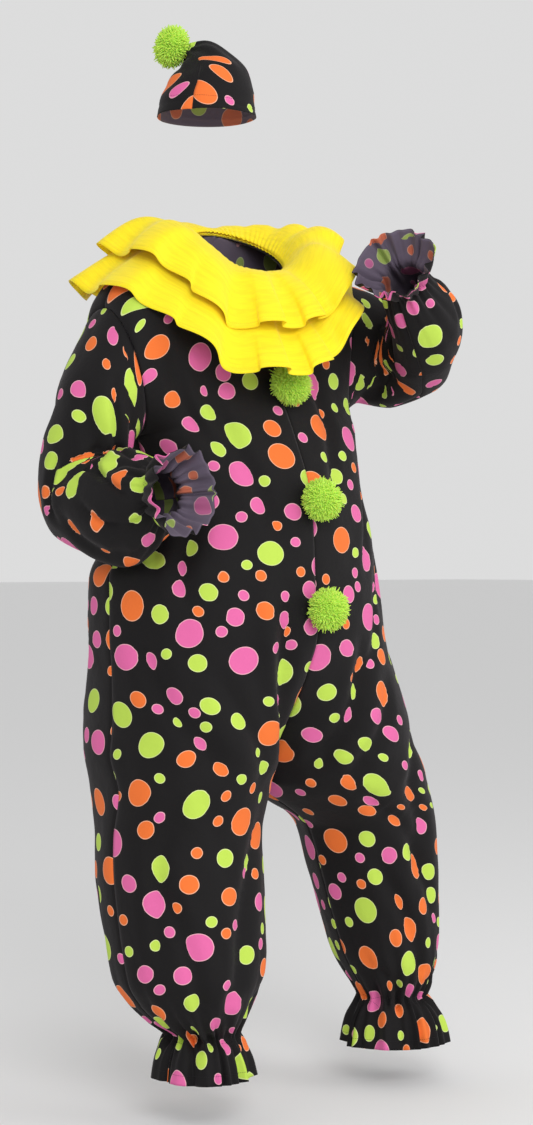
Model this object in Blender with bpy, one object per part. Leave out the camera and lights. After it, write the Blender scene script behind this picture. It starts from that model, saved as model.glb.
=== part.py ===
"""A clown costume as it is worn: baggy jumpsuit, two-tier ruff, yarn pompoms and a soft hat.

Frame: metres, +Z up, the origin at the base of the neck. The wearer faces -Y and their left is +X.
Every cloth piece is a wall: rows of points run across it from one seam to the other, and its
inner face is the same rows moved in by the cloth's thickness. Neighbouring pieces share the
points of their seam, and each stops short of it by half the seam gap.
"""

from collections import namedtuple

import bpy
import numpy as np

# Cloth and seams
CLOTH = 0.0016
CREPE = 0.0012
SEAM_GAP = 0.0003
SEAM_TRIM = SEAM_GAP / 2 + 0.00002
STEEPEST_SEAM = 0.2  # the least share of a drawn-in edge that widens its seam's gap

# Neck opening: an oval, lower in front than behind
NECK_HALF_WIDTH = 0.082
NECK_FRONT = (-0.078, -0.062)  # y, z of the centre front
NECK_BACK = (0.068, 0.028)  # y, z of the centre back
NECK_SIDE_Z = -0.012
QUARTER_ARC = 0.5523  # handle length of a cubic curve that follows a quarter circle
HALF_ARC = 4 / 3  # handle length of a cubic curve that peaks at one
SHOULDER_EASE = (0.15, 0.45)  # how soon the shoulder line starts to fall, and how late it ends
FORK_FULLNESS = 0.5  # extra depth half way down the rise
LEG_PARTING = 0.2  # how far the legs part as they leave the crotch

# Dropped armholes: ovals through a top, an underarm, and a front and a back bulge
Armhole = namedtuple("Armhole", "top underarm front back")
ARMHOLES = {
    "right": Armhole(
        (-0.285, 0.020, -0.130), (-0.228, 0.000, -0.350), (-0.020, -0.085, 0.0), (-0.002, 0.090, 0.0)
    ),
    "left": Armhole(
        (0.272, 0.000, -0.048), (0.243, -0.005, -0.295), (-0.045, -0.068, 0.0), (0.020, 0.085, 0.0)
    ),
}

# Trunk: one row for each level, from the shoulder seam to the crotch.
# neck, arm: degrees round the neck and armhole ovals; closed: how far the rise seam has
# travelled from the outside of the body towards the crotch.
Level = namedtuple("Level", "neck arm front_z back_z side_z front_y back_y seam_x right_x left_x closed")
NECK_ROW = 2  # where the seam leaves the neck
UNDERARM_ROW = 5
TRUNK = [
    Level(0, 0, -0.062, 0.028, -0.32, -0.078, 0.068, 0.000, -0.228, 0.243, 0.00),
    Level(45, 34, -0.062, 0.028, -0.32, -0.078, 0.068, 0.000, -0.228, 0.243, 0.00),
    Level(90, 66, -0.062, 0.028, -0.32, -0.078, 0.068, 0.000, -0.228, 0.243, 0.00),
    Level(90, 98, -0.150, -0.065, -0.32, -0.098, 0.112, 0.000, -0.228, 0.243, 0.00),
    Level(90, 134, -0.250, -0.185, -0.32, -0.114, 0.148, 0.000, -0.228, 0.243, 0.00),
    Level(90, 180, -0.345, -0.315, -0.32, -0.158, 0.172, 0.000, -0.228, 0.243, 0.00),
    Level(90, 180, -0.435, -0.425, -0.42, -0.196, 0.196, 0.000, -0.214, 0.241, 0.00),
    Level(90, 180, -0.520, -0.515, -0.51, -0.210, 0.216, 0.000, -0.236, 0.262, 0.00),
    Level(90, 180, -0.605, -0.605, -0.60, -0.214, 0.230, 0.000, -0.288, 0.278, 0.00),
    Level(90, 180, -0.690, -0.690, -0.69, -0.220, 0.232, 0.000, -0.288, 0.293, 0.00),
    Level(90, 180, -0.765, -0.765, -0.76, -0.212, 0.218, 0.002, -0.283, 0.316, 0.13),
    Level(90, 180, -0.840, -0.840, -0.84, -0.204, 0.199, 0.008, -0.282, 0.340, 0.42),
    Level(90, 180, -0.908, -0.908, -0.90, -0.192, 0.180, 0.013, -0.287, 0.360, 0.74),
    Level(90, 180, -0.960, -0.960, -0.97, -0.176, 0.158, 0.016, -0.290, 0.385, 1.00),
]
CROTCH_ROW = len(TRUNK) - 1
CROTCH_Y = -0.030

# Legs: one row for each level below the crotch. The last four are the elastic and the frill.
Ring = namedtuple("Ring", "x y z half_width half_depth")
LEGS = {
    "right": [
        Ring(-0.144, -0.020, -1.045, 0.150, 0.143),
        Ring(-0.147, -0.030, -1.130, 0.152, 0.142),
        Ring(-0.150, -0.045, -1.210, 0.148, 0.136),
        Ring(-0.157, -0.062, -1.283, 0.138, 0.128),
        Ring(-0.160, -0.072, -1.325, 0.116, 0.110),
        Ring(-0.155, -0.080, -1.360, 0.088, 0.085),
        Ring(-0.146, -0.085, -1.387, 0.060, 0.060),
        Ring(-0.144, -0.086, -1.404, 0.072, 0.072),
        Ring(-0.143, -0.087, -1.431, 0.083, 0.083),
        Ring(-0.142, -0.088, -1.460, 0.088, 0.088),
    ],
    "left": [
        Ring(0.286, -0.020, -1.060, 0.134, 0.127),
        Ring(0.300, -0.028, -1.150, 0.122, 0.119),
        Ring(0.310, -0.036, -1.230, 0.111, 0.110),
        Ring(0.317, -0.046, -1.300, 0.098, 0.100),
        Ring(0.320, -0.053, -1.335, 0.084, 0.086),
        Ring(0.321, -0.057, -1.360, 0.070, 0.071),
        Ring(0.320, -0.060, -1.380, 0.058, 0.058),
        Ring(0.320, -0.061, -1.397, 0.074, 0.074),
        Ring(0.320, -0.062, -1.428, 0.090, 0.090),
        Ring(0.320, -0.063, -1.466, 0.097, 0.097),
    ],
}
ANKLE_ROW = CROTCH_ROW + 7
HEM_ROW = CROTCH_ROW + 10

# Sleeves: rings along the bent arm. heading is the way the sleeve runs; out, in, front and back
# are the ring's half sizes, out being the side of the shoulder seam.
Cuff = namedtuple("Cuff", "centre heading out inward front back")
SLEEVES = {
    "right": [
        Cuff((-0.306, 0.010, -0.320), (-0.57, 0.02, -0.82), 0.076, 0.061, 0.086, 0.090),
        Cuff((-0.308, 0.030, -0.380), (-0.25, 0.10, -0.96), 0.076, 0.064, 0.088, 0.094),
        Cuff((-0.307, 0.042, -0.425), (-0.05, -0.25, -0.95), 0.076, 0.066, 0.076, 0.098),
        Cuff((-0.307, 0.028, -0.453), (-0.03, -0.70, -0.71), 0.076, 0.066, 0.076, 0.104),
        Cuff((-0.308, -0.018, -0.461), (0.00, -0.97, -0.20), 0.075, 0.066, 0.082, 0.104),
        Cuff((-0.309, -0.075, -0.464), (0.00, -1.00, 0.00), 0.072, 0.065, 0.084, 0.112),
        Cuff((-0.308, -0.125, -0.462), (0.00, -1.00, 0.03), 0.066, 0.064, 0.074, 0.090),
        Cuff((-0.309, -0.160, -0.458), (0.00, -1.00, 0.05), 0.051, 0.050, 0.056, 0.062),
        Cuff((-0.309, -0.180, -0.455), (0.02, -1.00, 0.05), 0.041, 0.040, 0.043, 0.044),
        Cuff((-0.308, -0.198, -0.453), (0.05, -1.00, 0.05), 0.053, 0.052, 0.055, 0.057),
        Cuff((-0.304, -0.236, -0.450), (0.08, -1.00, 0.05), 0.070, 0.068, 0.072, 0.076),
    ],
    "left": [
        Cuff((0.308, -0.028, -0.180), (0.80, -0.52, -0.28), 0.106, 0.094, 0.068, 0.078),
        Cuff((0.328, -0.062, -0.188), (0.50, -0.85, -0.10), 0.100, 0.092, 0.066, 0.070),
        Cuff((0.328, -0.110, -0.184), (-0.15, -0.95, 0.28), 0.094, 0.082, 0.060, 0.066),
        Cuff((0.310, -0.156, -0.166), (-0.60, -0.62, 0.50), 0.088, 0.080, 0.060, 0.070),
        Cuff((0.280, -0.192, -0.139), (-0.76, -0.42, 0.48), 0.078, 0.078, 0.058, 0.070),
        Cuff((0.240, -0.215, -0.110), (-0.78, -0.38, 0.48), 0.066, 0.068, 0.054, 0.060),
        Cuff((0.205, -0.230, -0.087), (-0.78, -0.38, 0.49), 0.052, 0.052, 0.046, 0.048),
        Cuff((0.180, -0.241, -0.069), (-0.78, -0.38, 0.50), 0.041, 0.041, 0.040, 0.040),
        Cuff((0.166, -0.248, -0.060), (-0.78, -0.38, 0.50), 0.053, 0.053, 0.052, 0.053),
        Cuff((0.139, -0.260, -0.043), (-0.78, -0.38, 0.50), 0.072, 0.072, 0.070, 0.072),
    ],
}
OUT_SIDE = {"right": (-1.0, 0.0, 0.0), "left": (0.0, 0.0, 1.0)}
TURN_SIGN = {"right": 1.0, "left": -1.0}

# Frills: waves on each half leg and round each wrist, and their height at the hem
LEG_WAVES = 5
LEG_WAVE_HEIGHT = 0.011
SLEEVE_WAVES = 8
SLEEVE_WAVE_HEIGHT = 0.009

# Largest folds: soft troughs (-) and ridges (+) in the cloth along a line on one piece.
# On a body panel a place is (level, share of the way from the inner to the outer seam); on a
# sleeve it is (ring, degrees from the shoulder seam, + to the front).
Fold = namedtuple("Fold", "piece start end width depth")
FOLDS = [
    Fold("front_right", (8.4, 0.12), (12.4, 0.10), 0.030, -0.014),
    Fold("front_right", (3.4, 0.40), (7.6, 0.14), 0.030, -0.009),
    Fold("front_right", (5.2, 0.85), (8.6, 0.55), 0.032, -0.010),
    Fold("front_right", (8.8, 0.80), (12.6, 0.50), 0.034, -0.010),
    Fold("front_right", (13.6, 0.28), (18.0, 0.45), 0.028, -0.010),
    Fold("front_right", (14.4, 0.80), (18.4, 0.66), 0.026, -0.009),
    Fold("front_left", (4.6, 0.80), (8.2, 0.38), 0.030, -0.012),
    Fold("front_left", (6.2, 0.90), (9.6, 0.62), 0.026, -0.009),
    Fold("front_left", (9.2, 0.30), (12.6, 0.18), 0.030, -0.012),
    Fold("front_left", (11.4, 0.78), (15.2, 0.52), 0.032, -0.010),
    Fold("front_left", (14.6, 0.30), (18.0, 0.46), 0.024, -0.009),
    Fold("back_right", (3.6, 0.30), (8.8, 0.42), 0.034, -0.012),
    Fold("back_right", (9.0, 0.70), (12.8, 0.36), 0.034, -0.013),
    Fold("back_right", (14.0, 0.45), (18.2, 0.55), 0.028, -0.010),
    Fold("back_left", (3.8, 0.45), (8.2, 0.30), 0.034, -0.012),
    Fold("back_left", (8.6, 0.62), (12.4, 0.34), 0.034, -0.013),
    Fold("back_left", (14.2, 0.60), (17.8, 0.48), 0.026, -0.009),
    Fold("sleeve_right", (1.2, 30), (3.4, 80), 0.022, -0.009),
    Fold("sleeve_right", (4.6, -20), (6.8, -70), 0.026, -0.010),
    Fold("sleeve_left", (1.2, 150), (3.6, 110), 0.024, -0.009),
    Fold("sleeve_left", (1.6, -60), (4.4, -110), 0.026, -0.010),
]
FOLD_STEPS = 15

# Ruff: each tier by the way it faces (degrees from the front, + to the wearer's left)
Reach = namedtuple("Reach", "turn radius z lift")
RUFF_UPPER = [
    Reach(-180, 0.185, -0.006, 0.064),
    Reach(-125, 0.240, -0.012, 0.084),
    Reach(-92, 0.232, -0.024, 0.092),
    Reach(-74, 0.224, -0.052, 0.090),
    Reach(-58, 0.208, -0.108, 0.082),
    Reach(-40, 0.198, -0.160, 0.066),
    Reach(-10, 0.203, -0.158, 0.060),
    Reach(18, 0.205, -0.122, 0.064),
    Reach(42, 0.200, -0.036, 0.078),
    Reach(75, 0.192, 0.019, 0.082),
    Reach(120, 0.190, 0.020, 0.076),
    Reach(180, 0.185, -0.006, 0.064),
]
RUFF_LOWER = [
    Reach(-180, 0.232, -0.085, 0.036),
    Reach(-128, 0.292, -0.080, 0.056),
    Reach(-95, 0.290, -0.090, 0.060),
    Reach(-78, 0.280, -0.114, 0.046),
    Reach(-60, 0.256, -0.172, 0.030),
    Reach(-38, 0.238, -0.240, 0.026),
    Reach(-10, 0.232, -0.242, 0.026),
    Reach(12, 0.225, -0.202, 0.030),
    Reach(34, 0.220, -0.125, 0.040),
    Reach(62, 0.215, -0.042, 0.042),
    Reach(95, 0.232, -0.010, 0.038),
    Reach(130, 0.245, -0.036, 0.043),
    Reach(180, 0.232, -0.085, 0.036),
]
RUFF_WAVES = 11
RUFF_WAVE_HEIGHT = {"ruff_upper": 0.014, "ruff_lower": 0.012}
RUFF_LAYER = {"ruff_lower": 0.0034, "ruff_upper": 0.0072}  # height over the neck seam
RUFF_OUT = 0.0010  # how far its neck edge stands outside the neck seam
RUFF_BELLY = 0.5  # where the arch from neck to hem is highest
RUFF_ROWS = 5
RUFF_POINTS = 5  # points in a wave

# Hat: rings from the brim to the flopped tip
HAT = [
    Cuff((-0.063, 0.013, 0.228), (0.00, 0.00, 1.00), 0.0890, 0.0890, 0.0890, 0.0890),
    Cuff((-0.061, 0.012, 0.256), (0.06, -0.05, 1.00), 0.0845, 0.0845, 0.0845, 0.0845),
    Cuff((-0.057, 0.009, 0.281), (0.05, -0.04, 1.00), 0.0770, 0.0770, 0.0770, 0.0770),
    Cuff((-0.057, 0.009, 0.306), (-0.06, 0.05, 1.00), 0.0670, 0.0670, 0.0670, 0.0670),
    Cuff((-0.064, 0.014, 0.328), (-0.22, 0.18, 0.96), 0.0510, 0.0510, 0.0510, 0.0510),
    Cuff((-0.075, 0.023, 0.341), (-0.50, 0.42, 0.76), 0.0320, 0.0320, 0.0320, 0.0320),
    Cuff((-0.088, 0.034, 0.347), (-0.72, 0.60, 0.32), 0.0130, 0.0130, 0.0130, 0.0130),
]
HAT_OUT_SIDE = (0.82, 0.57, 0.0)  # the seam is on the opposite side
HAT_COLUMNS = 17

# Pompoms
POMPOM_RADIUS = 0.0365
POMPOM_DEPTH = 0.0300
POMPOM_SIDES = 12
POMPOM_RINGS = 7
Pompom = namedtuple("Pompom", "name z clear")
FRONT_POMPOMS = [
    Pompom("pompom_top", -0.262, 0.0050),
    Pompom("pompom_middle", -0.465, 0.0010),
    Pompom("pompom_low", -0.648, 0.0010),
]
HAT_POMPOM = (-0.1100, 0.0520, 0.3560)
HAT_POMPOM_FACING = (-0.72, 0.60, 0.32)

# Back opening: a strip behind the centre-back seam, from the neck to the seat
FLY_SHARE = 0.45  # how far it reaches across the back panel's first column
FLY_ROWS = (2.5, 8)
FLY_CLEAR = 0.0007

# Colours: red, green, blue, roughness
FINISHES = {
    "dot_cloth": ((0.012, 0.011, 0.012), 0.80),
    "yellow_crepe": ((0.95, 0.78, 0.04), 0.75),
    "lime_yarn": ((0.42, 0.72, 0.10), 0.95),
}

# How finely each piece is cut into rows
BODY_STEPS = [0, 0.65, 1.3, 2, 2.6, 3.2, 3.8, 4.4, 5, *range(6, HEM_ROW + 1)]
BODY_COLUMNS = 9
FRILL_POINTS = 4  # points in a wave


def unit(vectors):
    """Each vector at length one."""
    vectors = np.asarray(vectors, float)
    return vectors / np.linalg.norm(vectors, axis=-1, keepdims=True)


def read(table, at):
    """A table's columns at fractional row numbers, on a cubic that never overshoots a row."""
    rows = np.asarray(table, float)
    at = np.asarray(at, float)
    steps = np.diff(rows, axis=0)
    before = steps[:-1]
    after = steps[1:]
    total = np.where(before + after == 0, 1, before + after)
    slopes = np.where(before * after > 0, 2 * before * after / total, 0)
    slopes = np.vstack([steps[:1], slopes, steps[-1:]])
    low = np.clip(np.floor(at).astype(int), 0, len(rows) - 2)
    f = (at - low)[:, None]
    return (
        rows[low] * (1 + 2 * f) * (1 - f) ** 2
        + slopes[low] * f * (1 - f) ** 2
        + rows[low + 1] * f**2 * (3 - 2 * f)
        + slopes[low + 1] * f**2 * (f - 1)
    )


def leg_level(ring, side):
    """A leg ring as a level of the trunk table, its rise seam now the inseam."""
    inner, outer = (1, -1) if side == "right" else (-1, 1)
    edge = ring.x + outer * ring.half_width
    return Level(
        90, 180, ring.z, ring.z, ring.z, ring.y - ring.half_depth, ring.y + ring.half_depth,
        ring.x + inner * ring.half_width, edge, edge, 1.0,
    )


def side_table(side):
    """All levels of one half, shoulder to hem, with the y of its side seam and closed inseam."""
    levels = [*TRUNK, *(leg_level(ring, side) for ring in LEGS[side])]
    middle = [0.0] * CROTCH_ROW + [CROTCH_Y] + [ring.y for ring in LEGS[side]]
    closing = [CROTCH_Y] * (CROTCH_ROW + 1) + [ring.y for ring in LEGS[side]]
    return [(*level, mid, close) for level, mid, close in zip(levels, middle, closing)]


def armhole_point(side, face, turn):
    """Points on the armhole oval, turn degrees from its top round the front or the back."""
    hole = ARMHOLES[side]
    top = np.array(hole.top)
    underarm = np.array(hole.underarm)
    bulge = np.array(hole.front if face == "front" else hole.back)
    angle = np.radians(turn)[:, None]
    return (top + underarm) / 2 + np.cos(angle) * (top - underarm) / 2 + np.sin(angle) * bulge


def neck_point(side, face, turn):
    """Points on the neck oval, turn degrees from its side towards the centre front or back."""
    sign = -1 if side == "right" else 1
    y, z = NECK_FRONT if face == "front" else NECK_BACK
    c = np.cos(np.radians(turn))
    s = np.sin(np.radians(turn))
    return np.stack([sign * NECK_HALF_WIDTH * c, y * s, NECK_SIDE_Z + (z - NECK_SIDE_Z) * s], axis=1)


def body_rows(side, face, at, across):
    """Points of a body panel: each row is one cubic curve from the inner seam to the outer one.

    On the trunk the curve is a quarter of an oval; down the rise it turns into half an oval
    round the leg.
    """
    c = Level(*read(side_table(side), at).T[: len(Level._fields)])
    side_y, closed_y = read(side_table(side), at).T[len(Level._fields) :]
    depth = c.front_y if face == "front" else c.back_y
    z = c.front_z if face == "front" else c.back_z
    outer_x = c.right_x if side == "right" else c.left_x
    closed = c.closed
    inner = np.stack([c.seam_x, depth + closed * (closed_y - depth), z], axis=1)
    inner = np.where((at <= NECK_ROW)[:, None], neck_point(side, face, c.neck), inner)
    outer = np.stack([outer_x, side_y, c.side_z], axis=1)
    outer = np.where((at <= UNDERARM_ROW)[:, None], armhole_point(side, face, c.arm), outer)

    face_y = np.where(at <= NECK_ROW, inner[:, 1], depth)
    fall = outer[:, 2] - inner[:, 2]
    handle_in = inner.copy()
    handle_in[:, 0] += np.maximum(1 - closed, LEG_PARTING) * QUARTER_ARC * (outer[:, 0] - inner[:, 0])
    handle_in[:, 2] += SHOULDER_EASE[0] * fall
    handle_out = outer.copy()
    handle_out[:, 2] -= SHOULDER_EASE[1] * fall
    peak = closed_y + HALF_ARC * (depth - closed_y)
    fullness = FORK_FULLNESS * closed * (1 - closed) * (depth - closed_y)
    handle_in[:, 1] = face_y + closed * (peak - face_y) + fullness
    trunk_out_y = outer[:, 1] + QUARTER_ARC * (face_y - outer[:, 1])
    handle_out[:, 1] = trunk_out_y + closed * (peak - trunk_out_y) + fullness

    s = across[None, :, None]
    points = [control[:, None, :] for control in (inner, handle_in, handle_out, outer)]
    return (
        points[0] * (1 - s) ** 3
        + 3 * points[1] * s * (1 - s) ** 2
        + 3 * points[2] * s**2 * (1 - s)
        + points[3] * s**3
    )


def ring_frame(heading, out_side, sign):
    """Unit out and front directions of a ring that faces along its heading."""
    heading = unit(heading)
    out = unit(out_side - heading * np.sum(heading * out_side, axis=-1, keepdims=True))
    return out, sign * np.cross(out, heading)


def ring_table(cuffs, out_side, sign):
    """Rings as rows of numbers: the centre, then the out, inward, front and back half vectors."""
    heading = np.array([cuff.heading for cuff in cuffs])
    out, front = ring_frame(heading, np.array(out_side), sign)
    sizes = np.array([[cuff.out, cuff.inward, cuff.front, cuff.back] for cuff in cuffs])
    return np.hstack([
        [cuff.centre for cuff in cuffs],
        out * sizes[:, :1],
        -out * sizes[:, 1:2],
        front * sizes[:, 2:3],
        -front * sizes[:, 3:4],
    ])


def armhole_row(side):
    """The armhole oval as the first row of its sleeve's ring table."""
    hole = ARMHOLES[side]
    top = np.array(hole.top)
    underarm = np.array(hole.underarm)
    half = (top - underarm) / 2
    return np.hstack([underarm + half, half, -half, hole.front, hole.back])


def ring_points(table, at, turns):
    """Points round each ring: centre + cos(turn) out or inward + sin(turn) front or back."""
    rows = read(table, at)
    centre, out, inward, front, back = (rows[:, None, 3 * i : 3 * i + 3] for i in range(5))
    angle = np.radians(turns)[None, :, None]
    c = np.cos(angle)
    s = np.sin(angle)
    return centre + np.where(c > 0, c * out, -c * inward) + np.where(s > 0, s * front, -s * back)


def stitch(first, second, points):
    """Triangles between two rows of point numbers; rows of one length take each shorter diagonal."""
    triangles = []
    if len(first) == len(second):
        for a, b, c, d in zip(first, first[1:], second, second[1:]):
            if np.linalg.norm(points[a] - points[d]) < np.linalg.norm(points[b] - points[c]):
                triangles += [(a, c, d), (a, d, b)]
            else:
                triangles += [(a, c, b), (b, c, d)]
        return triangles
    i = 0
    j = 0
    while i < len(first) - 1 or j < len(second) - 1:
        next_i = (i + 1) / (len(first) - 1) if i < len(first) - 1 else 2
        next_j = (j + 1) / (len(second) - 1) if j < len(second) - 1 else 2
        if next_i <= next_j:
            triangles.append((first[i], second[j], first[i + 1]))
            i += 1
        else:
            triangles.append((first[i], second[j], second[j + 1]))
            j += 1
    return triangles


def number_rows(rows):
    """Point numbers of each row, counted on from row to row."""
    starts = np.cumsum([0, *(len(row) for row in rows)])
    return [list(range(start, start + len(row))) for start, row in zip(starts, rows)]


def sheet_triangles(rows):
    """All triangles of one face of a sheet."""
    numbers = number_rows(rows)
    points = np.vstack(rows)
    return [t for first, second in zip(numbers, numbers[1:]) for t in stitch(first, second, points)]


def shared_normals(sheets):
    """Point normals of sheets that meet, alike on both sides of every seam.

    Each is the sum of its faces' normals, weighted by their corner angles.
    """
    points = np.vstack([np.vstack(rows) for rows in sheets.values()])
    triangles = []
    start = 0
    for rows in sheets.values():
        triangles.append(np.array(sheet_triangles(rows)) + start)
        start += sum(len(row) for row in rows)
    triangles = np.vstack(triangles)
    corners = points[triangles]
    faces = unit(np.cross(corners[:, 1] - corners[:, 0], corners[:, 2] - corners[:, 0]))
    _, spot = np.unique(np.round(points, 6), axis=0, return_inverse=True)
    spot = spot.reshape(-1)
    sums = np.zeros((spot.max() + 1, 3))
    for corner in range(3):
        one = unit(corners[:, (corner + 1) % 3] - corners[:, corner])
        other = unit(corners[:, (corner + 2) % 3] - corners[:, corner])
        angle = np.arccos(np.clip(np.sum(one * other, axis=1), -1, 1))
        np.add.at(sums, spot[triangles[:, corner]], faces * angle[:, None])
    normals = unit(sums[spot])
    shared = {}
    start = 0
    for name, rows in sheets.items():
        cuts = np.cumsum([len(row) for row in rows])[:-1]
        total = sum(len(row) for row in rows)
        shared[name] = np.split(normals[start : start + total], cuts)
        start += total
    return shared


def trim(rows, normals, edges):
    """A sheet's rows and wall directions, with the named edges drawn in by half a seam gap.

    Each edge is drawn in square to its seam, further where the shared normal leans along the
    sheet at a crease. A wall direction that leans over its own sheet, as at an underarm, is
    turned square to it.
    """
    drawn = [row.copy() for row in rows]
    turned = [normal.copy() for normal in normals]
    ends = {"inner": (0, 1), "outer": (-1, -2)}
    for name in edges:
        if name == "top":
            edge = rows[0]
            within = nearest(rows[1], len(edge))
            normal = normals[0]
            spots = [(0, k) for k in range(len(edge))]
        else:
            end, beside = ends[name]
            edge = np.array([row[end] for row in rows])
            within = np.array([row[beside] for row in rows])
            normal = np.array([row[end] for row in normals])
            spots = [(k, end) for k in range(len(rows))]
        seam = unit(np.gradient(edge, axis=0))
        along = within - edge
        along = unit(along - np.sum(along * seam, axis=1, keepdims=True) * seam)
        lean = np.sum(normal * along, axis=1)
        step = SEAM_TRIM / np.sqrt(np.maximum(1 - lean**2, STEEPEST_SEAM**2))
        for k, (row, place) in enumerate(spots):
            drawn[row][place] += step[k] * along[k]
            turn = turned[row][place]
            turned[row][place] = unit(turn - max(turn @ along[k], 0) * along[k])
    return drawn, turned


def nearest(row, count):
    """A row read at another number of points."""
    place = np.linspace(0, len(row) - 1, count)
    low = np.clip(place.astype(int), 0, len(row) - 2)
    return row[low] + (place - low)[:, None] * (row[low + 1] - row[low])


def make_object(name, points, triangles, finish):
    """A named object with its own material."""
    mesh = bpy.data.meshes.new(name)
    mesh.from_pydata([tuple(point) for point in points], [], [tuple(t) for t in triangles])
    mesh.validate()
    mesh.shade_smooth()
    mesh.set_sharp_from_angle(angle=np.radians(50))
    colour, roughness = FINISHES[finish]
    material = bpy.data.materials.new(name)
    material.use_nodes = True
    shader = material.node_tree.nodes["Principled BSDF"]
    shader.inputs["Base Color"].default_value = (*colour, 1)
    shader.inputs["Roughness"].default_value = roughness
    mesh.materials.append(material)
    bpy.context.collection.objects.link(bpy.data.objects.new(name, mesh))


def make_wall(name, rows, normals, thickness, finish):
    """A closed wall: the rows, the same rows moved in along the normals, and a rim all round.

    The rim's diagonals start at each lower point, so that two rims along a seam never cross.
    """
    outer = np.vstack(rows)
    count = len(outer)
    points = np.vstack([outer, outer - thickness * np.vstack(normals)])
    faces = sheet_triangles(rows)
    numbers = number_rows(rows)
    rim = [
        *numbers[0],
        *(row[-1] for row in numbers[1:-1]),
        *reversed(numbers[-1]),
        *(row[0] for row in reversed(numbers[1:-1])),
    ]
    triangles = [*faces, *((a + count, c + count, b + count) for a, b, c in faces)]
    for a, b in zip(rim, [*rim[1:], rim[0]]):
        if points[a][2] < points[b][2]:
            triangles += [(a, b, b + count), (a, b + count, a + count)]
        else:
            triangles += [(a, b, a + count), (b, b + count, a + count)]
    make_object(name, points, triangles, finish)


def flip(rows):
    """Rows read the other way, so that their faces turn over."""
    return [row[::-1] for row in rows]


def wave_push(count, waves, height):
    """Heights across a row of even points with whole waves between its ends."""
    return height * np.sin(2 * np.pi * waves * np.linspace(0, 1, count))


def push_rows(rows, normals, pushes):
    """Rows moved out along their normals."""
    return [row + normal * np.reshape(push, (-1, 1)) for row, normal, push in zip(rows, normals, pushes)]


def frill_rise(at, band, end):
    """How much of the frill's wave a row carries: none above the elastic, all of it at the hem."""
    return np.clip(0.25 + 0.75 * (at - band) / (end - band), 0, 1) if at >= band else 0.0


def body_sheet(side, face):
    """Rows of one body panel, closer together in the ankle frill."""
    rows = []
    for at in BODY_STEPS:
        count = FRILL_POINTS * LEG_WAVES + 1 if at >= ANKLE_ROW - 1 else BODY_COLUMNS
        rows.append(body_rows(side, face, np.array([float(at)]), np.linspace(0, 1, count))[0])
    turned = (side == "right") == (face == "front")
    return flip(rows) if turned else rows


def sleeve_turns():
    """Degrees round the sleeve of the armhole's points, from the underarm seam to itself."""
    steps = np.array(BODY_STEPS[: BODY_STEPS.index(UNDERARM_ROW) + 1], float)
    arm = read([(level.arm,) for level in TRUNK], steps)[:, 0]
    return np.concatenate([-arm[::-1], arm[1:]])


def sleeve_sheet(side):
    """Rows of one sleeve, from the armhole to the frill's hem."""
    table = sleeve_table(side)
    last = len(table) - 1
    band = last - 2
    rows = []
    for at in range(last + 1):
        turns = sleeve_turns()
        if at >= band:
            turns = np.linspace(-180, 180, FRILL_POINTS * SLEEVE_WAVES + 1)
        rows.append(ring_points(table, np.array([float(at)]), turns)[0])
    return (rows if side == "left" else flip(rows)), band, last


def sleeve_table(side):
    """All rings of a sleeve, the armhole first."""
    return np.vstack([armhole_row(side), ring_table(SLEEVES[side], OUT_SIDE[side], TURN_SIGN[side])])


def fold_line(fold):
    """Points along a fold, read from its piece's own surface."""
    kind, side = fold.piece.split("_")
    at = np.linspace(fold.start[0], fold.end[0], FOLD_STEPS)
    across = np.linspace(fold.start[1], fold.end[1], FOLD_STEPS)
    pick = np.arange(FOLD_STEPS)
    if kind == "sleeve":
        return ring_points(sleeve_table(side), at, across)[pick, pick]
    return body_rows(side, kind, at, across)[pick, pick]


def fold_push(row, lines):
    """How far the folds move a row's points: each is a bell of its width round its line."""
    push = np.zeros(len(row))
    for fold, line in zip(FOLDS, lines):
        away = np.linalg.norm(row[:, None] - line[None], axis=2).min(axis=1)
        push += fold.depth * np.exp(-((away / fold.width) ** 2))
    return push


def make_jumpsuit():
    """Four body panels and two sleeves that share their seam points; their rows are returned."""
    lines = [fold_line(fold) for fold in FOLDS]
    sheets = {}
    pushes = {}
    for side in ("right", "left"):
        for face in ("front", "back"):
            name = f"{face}_{side}"
            sheets[name] = body_sheet(side, face)
            pushes[name] = [
                wave_push(len(row), LEG_WAVES, LEG_WAVE_HEIGHT * frill_rise(at, ANKLE_ROW, HEM_ROW))
                for at, row in zip(BODY_STEPS, sheets[name])
            ]
        name = f"sleeve_{side}"
        sheets[name], band, last = sleeve_sheet(side)
        pushes[name] = [
            wave_push(len(row), SLEEVE_WAVES, SLEEVE_WAVE_HEIGHT * frill_rise(at, band, last))
            for at, row in enumerate(sheets[name])
        ]
    normals = shared_normals(sheets)
    for name, rows in sheets.items():
        pushes[name] = [push + fold_push(row, lines) for push, row in zip(pushes[name], rows)]
        sheets[name] = push_rows(rows, normals[name], pushes[name])
    normals = shared_normals(sheets)
    for name, rows in sheets.items():
        make_wall(name, *trim(rows, normals[name], ("inner", "outer", "top")), CLOTH, "dot_cloth")
    return sheets


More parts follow.
